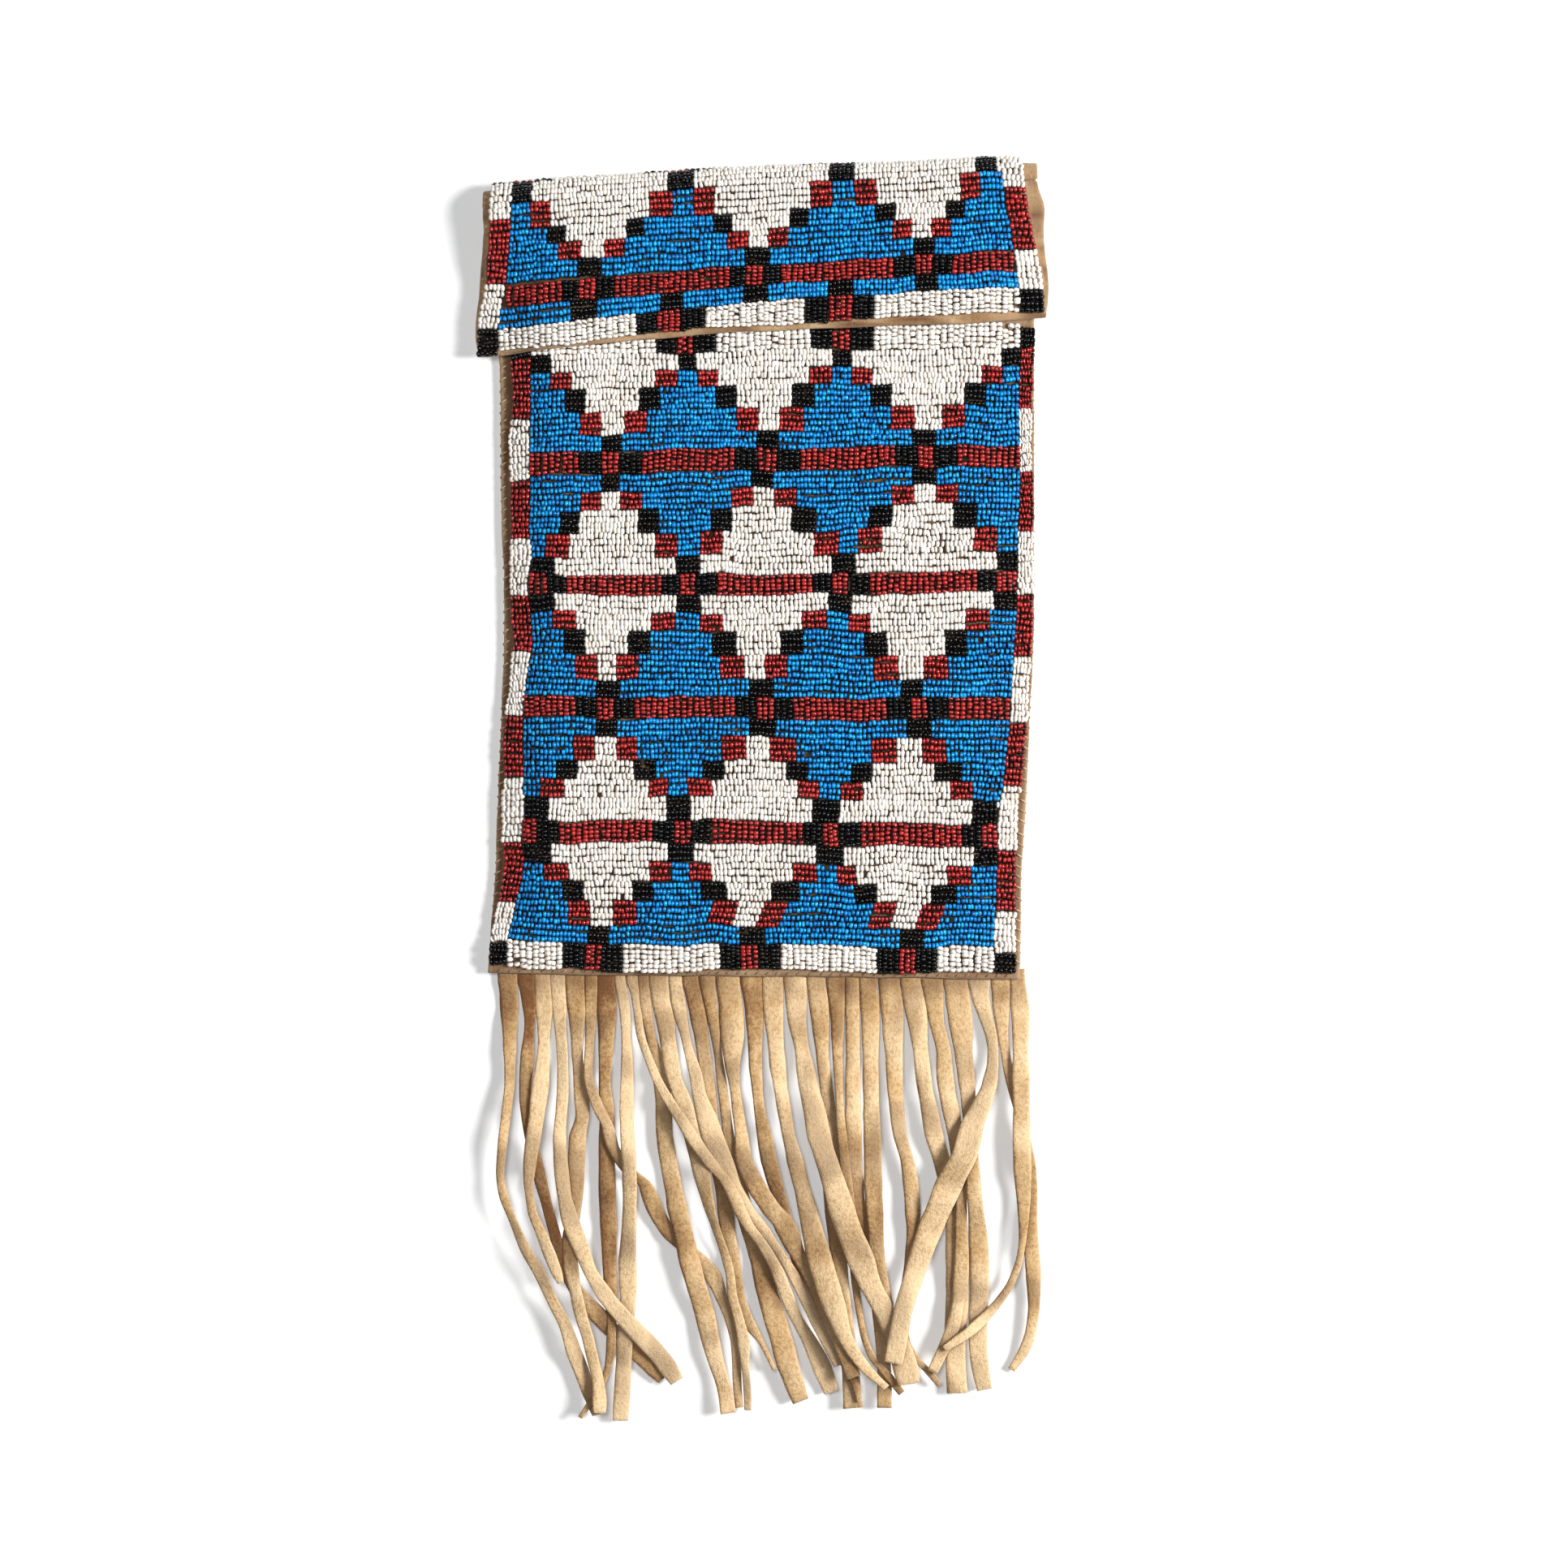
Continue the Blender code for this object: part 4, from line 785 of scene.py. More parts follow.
# s of the boundaries between the row groups of the flap's field, at the left and right ends
FLAP_S = ([-33.0, -3.0, 29.5, 49.0, 70.0, 93.5], [-40.0, -10.0, 21.6, 43.6, 67.0, 88.5])
FLAP_IN_L = [(-60, 631), (-25, 631), (30, 629), (97, 622), (150, 612), (185, 612)]       # s, x
FLAP_IN_R = [(-60, 1229), (-30, 1231), (30, 1238), (87, 1248), (135, 1256.5), (175, 1256.5)]
FLAP_OUT_L = [(-60, 607), (-8, 605), (30, 603.5), (62, 599.5), (97, 597), (150, 588), (185, 587)]
FLAP_OUT_R = [(-60, 1258), (-5, 1261), (38, 1265.5), (58, 1270.5), (81, 1274.5), (107, 1282), (125, 1286), (175, 1290)]
# plan y of the flap's lanes as s at the left (x 640) and right (x 1250)
FLAP_LANES = {"red": (94.0, 88.8), "low": (121.5, 113.3), "bottom": (147.0, 133.0), "edge": (174.5, 159.5)}
FLAP_X = [580, 640, 700, 780, 900, 1000, 1140, 1290]
FLAP_BOW = {"red": [-3.0, -3.0, -2.0, -0.5, 0.5, 0.0, 0.0, 0.0], "low": [-1.0, -1.0, 0.0, 2.0, 3.0, 2.0, 0.0, 0.0],
            "bottom": [-3.0, -2.5, 0.0, 3.0, 5.0, 5.5, 2.0, -1.0], "edge": [-0.5, -1.0, 0.8, 4.6, 5.5, 2.0, 0.0, -2.0]}


def flap_s(name, x):
    a, b = FLAP_LANES[name]
    bow = np.interp(x, FLAP_X, FLAP_BOW[name])
    return a + (b - a) * (x - 640.0) / 610.0 - bow


def flap_warp(x, s):
    on = ease((s + 10) / 30.0)
    wx = on * (1.2 * noise(x, s, 75, 21) + 0.8 * noise(x, s, 30, 22))
    ws = on * (2.2 * noise(x, s, 100, 23) + 1.6 * noise(x, s, 42, 24) + 0.7 * noise(x, s, 20, 25))
    return x + wx, s + ws


def warped_flap(x, s, h):
    x, s = flap_warp(np.asarray(x, float), np.asarray(s, float))
    return flap_point(x, s, h)


CLEAR_Z = 1.55 * MM      # none of them is pressed into the table
SPLIT_Z = 10.9 * MM      # beads of the loop whose middle is lower than this go in the fold's own piece


def split_loop(strings):
    """parts the beads that sit round the loop of the fold from those on the flap"""
    flat, loop = Strings(), Strings()
    for part in strings.parts:
        centre = part[0]
        x = centre[:, 0] / U + CX
        s = (CY - centre[:, 1] / U) - (fold_y(x) + FOLD_A / U)
        on = (centre[:, 2] < SPLIT_Z) & (s < 0)
        for box, sel in ((flat, ~on), (loop, on)):
            if sel.any():
                box.parts.append(tuple(p[sel] for p in part))
    return flat, loop


def flap_beads():
    def place_rows(t):
        return t

    # the rows of the upper field, group by group, so that each keeps its measured height
    total = sum(g[0] for g in FLAP_FIELD)
    cuts = np.cumsum([0] + [g[0] for g in FLAP_FIELD]) / total

    def rows_s(x, t):
        a, b = np.interp(t, cuts, FLAP_S[0]), np.interp(t, cuts, FLAP_S[1])
        return a + (b - a) * (np.asarray(x) - 645.0) / 575.0

    s_in_l = lambda s: float(line(FLAP_IN_L, s)) + 0.6
    s_in_r = lambda s: float(line(FLAP_IN_R, s)) - 0.6
    upper = Strings()
    field(upper, FLAP_FIELD, rows_s, warped_flap, s_in_l, s_in_r, W_OVER_B, 400, drop=0.006)
    upper, loop = split_loop(upper)
    low = Strings()
    field(low, FLAP_LOW, lambda x, t: flap_s("low", x) * (1 - t) + flap_s("bottom", x) * t, warped_flap, s_in_l, s_in_r,
          {"above": "B", "below": "B"}, 401, drop=0.006)
    red = Strings()
    lane(red, FLAP_RED, 624, lambda x: flap_s("red", x) + 0.2, lambda x: flap_s("low", x) - 0.2, warped_flap, 402)
    bottom = Strings()
    lane(bottom, FLAP_BOTTOM, 613, lambda x: flap_s("bottom", x) + 0.2, lambda x: flap_s("edge", x), warped_flap, 403, count=6)
    left, right = Strings(), Strings()
    side_lane(left, [(16.0, "W"), (94.0, "R"), (149.0, "W"), (182.0, "K")], -44.0, lambda s: line(FLAP_OUT_L, s),
              lambda s: line(FLAP_IN_L, s), warped_flap, 404)
    side_lane(right, [(9.0, "W"), (86.0, "R"), (134.0, "W"), (163.0, "K")], -44.0, lambda s: line(FLAP_IN_R, s),
              lambda s: line(FLAP_OUT_R, s), warped_flap, 405)
    left, loop_l = split_loop(left)
    right, loop_r = split_loop(right)
    top = Strings()
    lane(top, FOLD_LANE, 606, lambda x: -59.0 - 6.5 * (x - 645.0) / 575.0, lambda x: -33.6 - 7.0 * (x - 645.0) / 575.0,
         warped_flap, 406, hump=1.0)
    for name, strings, node_name, slot in (
            ("beads_flap_field_upper", upper, "flap_field_upper", "blue_field_beads"),
            ("beads_flap_field_lower", low, "flap_field_lower", "blue_field_beads"),
            ("beads_flap_red_lane", red, "flap_red_lane", "lane_beads"),
            ("beads_flap_bottom_lane", bottom, "flap_bottom_lane", "border_beads"),
            ("beads_flap_left_lane", left, "flap_left_lane", "border_beads"),
            ("beads_flap_right_lane", right, "flap_right_lane", "border_beads")):
        # the flap's beads and the fold's get weaker painted shade
        ob = bead_piece(name, strings, 420 + len(name), 0.2)
        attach(ob, "flap")
        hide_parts(node_name)
    loop.parts += loop_l.parts + loop_r.parts + top.parts
    loop.parts = [tuple(p[part[0][:, 2] > CLEAR_Z] for p in part) for part in loop.parts]
    ob = bead_piece("beads_fold", loop, 430, 0.2)
    bend(ob)
    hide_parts("flap_top_lane")


def bend(ob):
    """bakes the piece's placement into its mesh; the point on the fold it works out is not used"""
    x, y = P(936.5, float(fold_y(936.5)) + FOLD_A / U)
    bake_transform(ob)


# ---------------------------------------------------------------- hides
def sheet_mesh(name, lower, upper, mat, closed_round=0.55):
    """a closed hide from two grids of points, (nu, nv, 3) each, with rounded edges"""
    nu, nv = lower.shape[:2]
    ring = ([(i, 0) for i in range(nu)] + [(nu - 1, j) for j in range(1, nv)] +
            [(i, nv - 1) for i in range(nu - 2, -1, -1)] + [(0, j) for j in range(nv - 2, 0, -1)])
    lo, up = lower.reshape(-1, 3), upper.reshape(-1, 3)
    idx = lambda i, j: i * nv + j
    n = nu * nv
    # a rim that bulges out half way between the two faces
    mids, prev = [], None
    middle = 0.5 * (lower + upper)
    for i, j in ring:
        out = np.zeros(3)
        if i == 0:
            out += middle[0, j] - middle[1, j]
        if i == nu - 1:
            out += middle[-1, j] - middle[-2, j]
        if j == 0:
            out += middle[i, 0] - middle[i, 1]
        if j == nv - 1:
            out += middle[i, -1] - middle[i, -2]
        out = out / max(np.linalg.norm(out), 1e-9)
        mids.append(middle[i, j] + out * closed_round * 0.5 * np.linalg.norm(upper[i, j] - lower[i, j]))
    verts = np.concatenate([lo, up, np.array(mids)])
    i, j = np.meshgrid(np.arange(nu - 1), np.arange(nv - 1), indexing="ij")
    i, j = i.ravel(), j.ravel()
    top = np.stack([idx(i, j), idx(i + 1, j), idx(i + 1, j + 1), idx(i, j + 1)], -1)
    quads = [top + n, top[:, ::-1]]
    m = len(ring)
    k = np.arange(m)
    a = np.array([idx(*r) for r in ring])
    b = np.roll(a, -1)
    mk, mb = 2 * n + k, 2 * n + (k + 1) % m
    quads.append(np.stack([a, b, mb, mk], -1))
    quads.append(np.stack([mk, mb, b + n, a + n], -1))
    quads = np.concatenate(quads)
    ob = make_mesh(name, verts, [quads], [mat])
    e1 = verts[quads[:, 1]] - verts[quads[:, 0]]
    e2 = verts[quads[:, 3]] - verts[quads[:, 0]]
    vol = (verts[quads[:, 0]] * np.cross(e1, verts[quads[:, 2]] - verts[quads[:, 0]])).sum() + \
        (verts[quads[:, 0]] * np.cross(verts[quads[:, 2]] - verts[quads[:, 0]], e2)).sum()
    if vol < 0:
        ob.data.flip_normals()
    return ob, verts


def plan_of(verts):
    return verts[:, 0] / U + CX, CY - verts[:, 1] / U


def edge_cols(n):
    """even columns with finer ones at each end"""
    near = np.array([0, 0.003, 0.008, 0.014, 0.020, 0.027, 0.036, 0.05])
    return np.concatenate([near, np.linspace(0.07, 0.93, n - 16), 1 - near[::-1]])


def front_hide():
    cols, rows = edge_cols(48), edge_cols(72)
    xi = np.zeros((len(cols), len(rows)))
    yi = np.zeros_like(xi)
    for b, v in enumerate(rows):
        y_mid = 1202 * (1 - v) + (fold_y(939) + MOUTH / U) * v
        xl, xr = line(BACK_L, y_mid), line(BACK_R, y_mid)
        wav = 0.8 * noise(0, y_mid, 26, 41) * (1 if 0 < v < 1 else 0)
        x = xl + (xr - xl) * cols
        x[0] += wav
        x[-1] += 0.8 * noise(9, y_mid, 24, 42)
        xi[:, b] = x
        tilt = (bottom_y(x) - 1202) * (1 - ease(v * 4)) + (fold_y(x) - fold_y(939)) * ease((v - 0.5) * 2)
        yi[:, b] = y_mid + tilt + (1.0 * noise(x, 3, 30, 43) if v == 0 else 0)
    zu = front_under(xi, yi)
    px, py = P(xi, yi)
    lower = np.stack([px, py, zu], -1)
    upper = np.stack([px, py, zu + HIDE], -1)
    ob, verts = sheet_mesh("hide_front", lower, upper, MAT_FRONT)
    x, y = plan_of(verts)
    edge = np.minimum(x - line(BACK_L, y), line(BACK_R, y) - x)
    dark = 0.95 * ease(1 - np.abs(x - line(LANE_LL, y) + 3) / 8.0) * (y > 430) * (y < 1190)
    dark = np.maximum(dark, 0.7 * ease(1 - np.abs(x - line(LANE_RR, y) - 3) / 8.0) * (y > 400) * (y < 1190))
    # under: painted shade on the hide beneath the beads, seen in the gaps between them
    under = ease((x - line(LANE_LL, y)) / 5.0) * ease((line(LANE_RR, y) - x) / 5.0) * ease((band("hem", x) - y) / 5.0)
    under = under * ease((y - band("top_lane", x)) / 4.0) * (0.70 + 0.26 * noise(x, y, 50, 58))
    hem = ease((y - bottom_y(x) + 18) / 12.0)
    dark = np.maximum(dark, hem * (0.50 + 0.35 * noise(x, y, 22, 56)))
    add_floats(ob, tone=np.clip(0.35 + 0.5 * ease((3.5 - edge) / 3.5) + 0.15 * hem + 0.15 * noise(x, y, 40, 44), 0, 1.3),
               stain=np.clip(dark * (0.8 + 0.4 * noise(x, y, 30, 45)), 0, 1), under=under * 0.96)
    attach(ob, "bag")
    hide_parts("front_hide")
    return ob


def back_hide():
    cols = edge_cols(38)
    y_top = lambda x: fold_y(x) + FOLD_A / U
    rows = edge_cols(50)
    xi = np.zeros((len(cols), len(rows)))
    yi = np.zeros_like(xi)
    for b, v in enumerate(rows):
        y_mid = 1202 * (1 - v) + y_top(939) * v
        x = line(BACK_L, y_mid) + (line(BACK_R, y_mid) - line(BACK_L, y_mid)) * cols
        if v == 1:
            x = FOLD_L[0] + (FOLD_R[0] - FOLD_L[0]) * cols
        x[0] += 0.7 * noise(0, y_mid, 28, 46) * (0 < v < 1)
        x[-1] += 0.7 * noise(5, y_mid, 28, 47) * (0 < v < 1)
        xi[:, b] = x
        yi[:, b] = y_mid + (bottom_y(x) - 1202) * (1 - ease(v * 4)) + (fold_y(x) - fold_y(939)) * ease((v - 0.6) * 2.5)
    px, py = P(xi, yi)
    lower = np.stack([px, py, np.zeros_like(px)], -1)
    upper = np.stack([px, py, np.full_like(px, HIDE)], -1)
    ob, verts = sheet_mesh("hide_back", lower, upper, MAT_HIDE)
    x, y = plan_of(verts)
    add_floats(ob, tone=np.clip(0.35 + 0.25 * noise(x, y, 130, 48), 0, 1),
               stain=np.clip(0.25 * ease(noise(x, y, 90, 49) - 0.2), 0, 1))
    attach(ob, "bag")
    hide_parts("back_hide")
    # the loop of the fold
    phi = np.linspace(math.pi, 0, 29)
    xf = FOLD_L[0] + (FOLD_R[0] - FOLD_L[0]) * cols
    X, F = np.meshgrid(xf, phi, indexing="ij")
    yc = fold_y(X) + FOLD_A / U

    def loop(h):
        up = np.where(F < math.pi / 2, FLAP_TOP - FOLD_MID, FOLD_MID)
        px, py = P(X, yc - (FOLD_A + h) * np.sin(F) / U + fold_bow(X, 0.0) * np.sin(F / 2))
        return np.stack([px, py, FOLD_MID + (up + h) * np.cos(F)], -1)
    ob, verts = sheet_mesh("hide_fold", loop(-HIDE), loop(0.0), MAT_HIDE, 0.4)
    x, y = plan_of(verts)
    outer = np.arange(len(verts)) >= len(cols) * len(phi)
    # under: painted shade on the outer face beneath the fold's beads
    add_floats(ob, tone=0.15 + 0.25 * noise(x, y, 40, 50), stain=np.full(len(verts), 0.3),
               under=0.9 * outer * (verts[:, 2] > 4.5 * MM) * ease((x - 606) / 5.0) * ease((1259 - x) / 5.0))
    bend(ob)


def flap_hide():
    cols = edge_cols(64)
    rows = np.concatenate([np.linspace(0, 0.9, 19), [0.93, 0.945, 0.957, 0.968, 0.978, 0.988, 1.0]])
    xi = np.zeros((len(cols), len(rows)))
    yi = np.zeros_like(xi)
    for b, v in enumerate(rows):
        for a, c in enumerate(cols):
            x_edge = FOLD_L[0] + (FOLD_R[0] - FOLD_L[0]) * c
            y0 = fold_y(x_edge) + FOLD_A / U
            x_low = 590 + (1287 - 590) * c
            y1 = line(FLAP_EDGE, x_low)
            y = y0 + (y1 - y0) * v
            y = y + fold_bow(x_edge, y - y0)
            xl, xr = line(FLAP_L, y), line(FLAP_R, y)
            x = xl + (xr - xl) * c
            k = ease(v * 6)
            xi[a, b] = x_edge * (1 - k) + x * k
            yi[a, b] = y + (0.7 * noise(x, 0, 22, 51) if v == 1 else 0)
    wob = 0.6 * noise(np.zeros(len(rows)), rows * 200, 20, 52)
    xi[0] += wob * (rows > 0)
    xi[-1] += wob[::-1] * (rows > 0)
    zu = flap_under(xi, yi)
    px, py = P(xi, yi)
    ob, verts = sheet_mesh("hide_flap", np.stack([px, py, zu], -1), np.stack([px, py, zu + HIDE], -1), MAT_HIDE)
    x, y = plan_of(verts)
    s = y - fold_y(x) - FOLD_A / U
    # under: painted shade on the top face beneath the beads
    under = ease((x - line(FLAP_OUT_L, s)) / 5.0) * ease((line(FLAP_OUT_R, s) - x) / 5.0) * ease((flap_s("edge", x) - s) / 5.0)
    top = np.arange(len(verts)) >= len(cols) * len(rows)
    under = under * 0.88
    rim = np.maximum(ease((s - flap_s("edge", x) + 1) / 3.0), np.maximum(ease((x - line(FLAP_OUT_R, s)) / 3.0), ease((line(FLAP_OUT_L, s) - x) / 3.0)))
    # painted shade of creases near the rim, which the mesh doesn't have
    crease_shade = ease(noise(x * 0.35, y * 2.2, 14, 57) * 1.8 - 0.5) * rim
    add_floats(ob, tone=np.clip(0.30 + 0.30 * noise(x, y, 60, 53) + 0.3 * noise(x, y, 18, 55), 0, 1),
               stain=np.clip(0.24 + 0.3 * noise(x, y, 25, 54) + 0.16 * rim + 0.5 * crease_shade, 0, 1), under=under * 0.96 * top)
    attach(ob, "flap")
    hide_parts("flap_hide")


# ---------------------------------------------------------------- sinew
def tubes(name, paths, radius, sides=6, shade=0.4):
    verts, quads, caps, tones, base = [], [], [], [], 0
    for n, p in enumerate(paths):
        p = np.asarray(p, float)
        d = unit(np.gradient(p, axis=0))
        ref = np.where(np.abs(d[:, 2:3]) < 0.9, [[0, 0, 1.0]], [[1.0, 0, 0]])
        e1 = unit(np.cross(d, ref))
        e2 = np.cross(d, e1)
        t = 2 * math.pi * np.arange(sides) / sides
        m = len(p)
        taper = np.ones(m)
        taper[[0, -1]] = 0.55
        ring = p[:, None] + radius * taper[:, None, None] * (e1[:, None] * np.cos(t)[None, :, None] +
                                                             e2[:, None] * np.sin(t)[None, :, None])
        verts.append(ring.reshape(-1, 3))
        k = np.arange(sides)
        for q in range(m - 1):
            quads.append(np.stack([base + q * sides + k, base + q * sides + (k + 1) % sides,
                                   base + (q + 1) * sides + (k + 1) % sides, base + (q + 1) * sides + k], -1))
        caps += [base + k[::-1], base + (m - 1) * sides + k]
        tones.append(np.full(m * sides, shade + 0.35 * math.sin(n * 2.4)))
        base += m * sides
    verts, quads, caps = np.concatenate(verts), np.concatenate(quads), np.array(caps)
    e1 = verts[quads[0, 1]] - verts[quads[0, 0]]
    e2 = verts[quads[0, 3]] - verts[quads[0, 0]]
    centre = verts[:sides].mean(0)
    if np.dot(np.cross(e1, e2), verts[quads[0, 0]] - centre) < 0:
        quads, caps = quads[:, ::-1], caps[:, ::-1]
    ob = make_mesh(name, verts, [quads, caps], [MAT_SINEW])
    add_floats(ob, tone=np.concatenate(tones), stain=np.zeros(len(verts)))
    return ob


def whip_stitches(name, node_name, table, sign, seed, y0=452, y1=1186, step=13.5):
    """loops of sinew over the edge that hold the two hides together down a side"""
    r = np.random.default_rng(seed)
    paths, y = [], y0
    while y < y1:
        x = float(line(table, y)) + 0
        pts = []
        reach = 6.5 + r.normal(0, 0.6)
        for k, (u, zt) in enumerate([(reach, 1.0), (reach * 0.6, 1.06), (reach * 0.2, 0.98), (-1.2, 0.62), (-1.5, 0.30),
                                     (0.6, 0.02), (4.0, -0.02)]):
            yy = y - 3.0 + k * 1.3
            xx = x - sign * u * (1 if u > 0 else 1)
            top = float(front_top(np.array(line(table, yy) - sign * max(u, 0.0)), np.array(yy)))
            z = 0.25 * MM + (top + 0.10 * MM) * zt if zt > 0.0 else 0.12 * MM
            px, py = P(xx, yy)
            pts.append((px, py, max(z, 0.36 * MM)))
        paths.append(pts)
        y += step + r.normal(0, 1.2)
    ob = tubes(name, paths, 0.27 * MM, shade=0.2)
    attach(ob, "bag")
    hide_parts(node_name)


def hem_stitches():
    r = np.random.default_rng(77)
    paths, x = [], 612.0
    while x < 1246:
        yb = float(bottom_y(x))
        pts = []
        for k in range(6):
            t = k / 5
            xx, yy = x + 5.5 * t, yb - 1.0 - 4.2 * t + 0.6 * math.sin(math.pi * t)
            px, py = P(xx, yy)
            z = float(front_top(np.array(xx), np.array(yy))) + (0.42 * math.sin(math.pi * t) - 0.12) * MM
            pts.append((px, py, z))
        paths.append(pts)
        x += 13.0 + r.normal(0, 1.2)
    ob = tubes("stitches_bottom", paths, 0.24 * MM, shade=-0.5)
    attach(ob, "bag")
    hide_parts("seam_bottom")


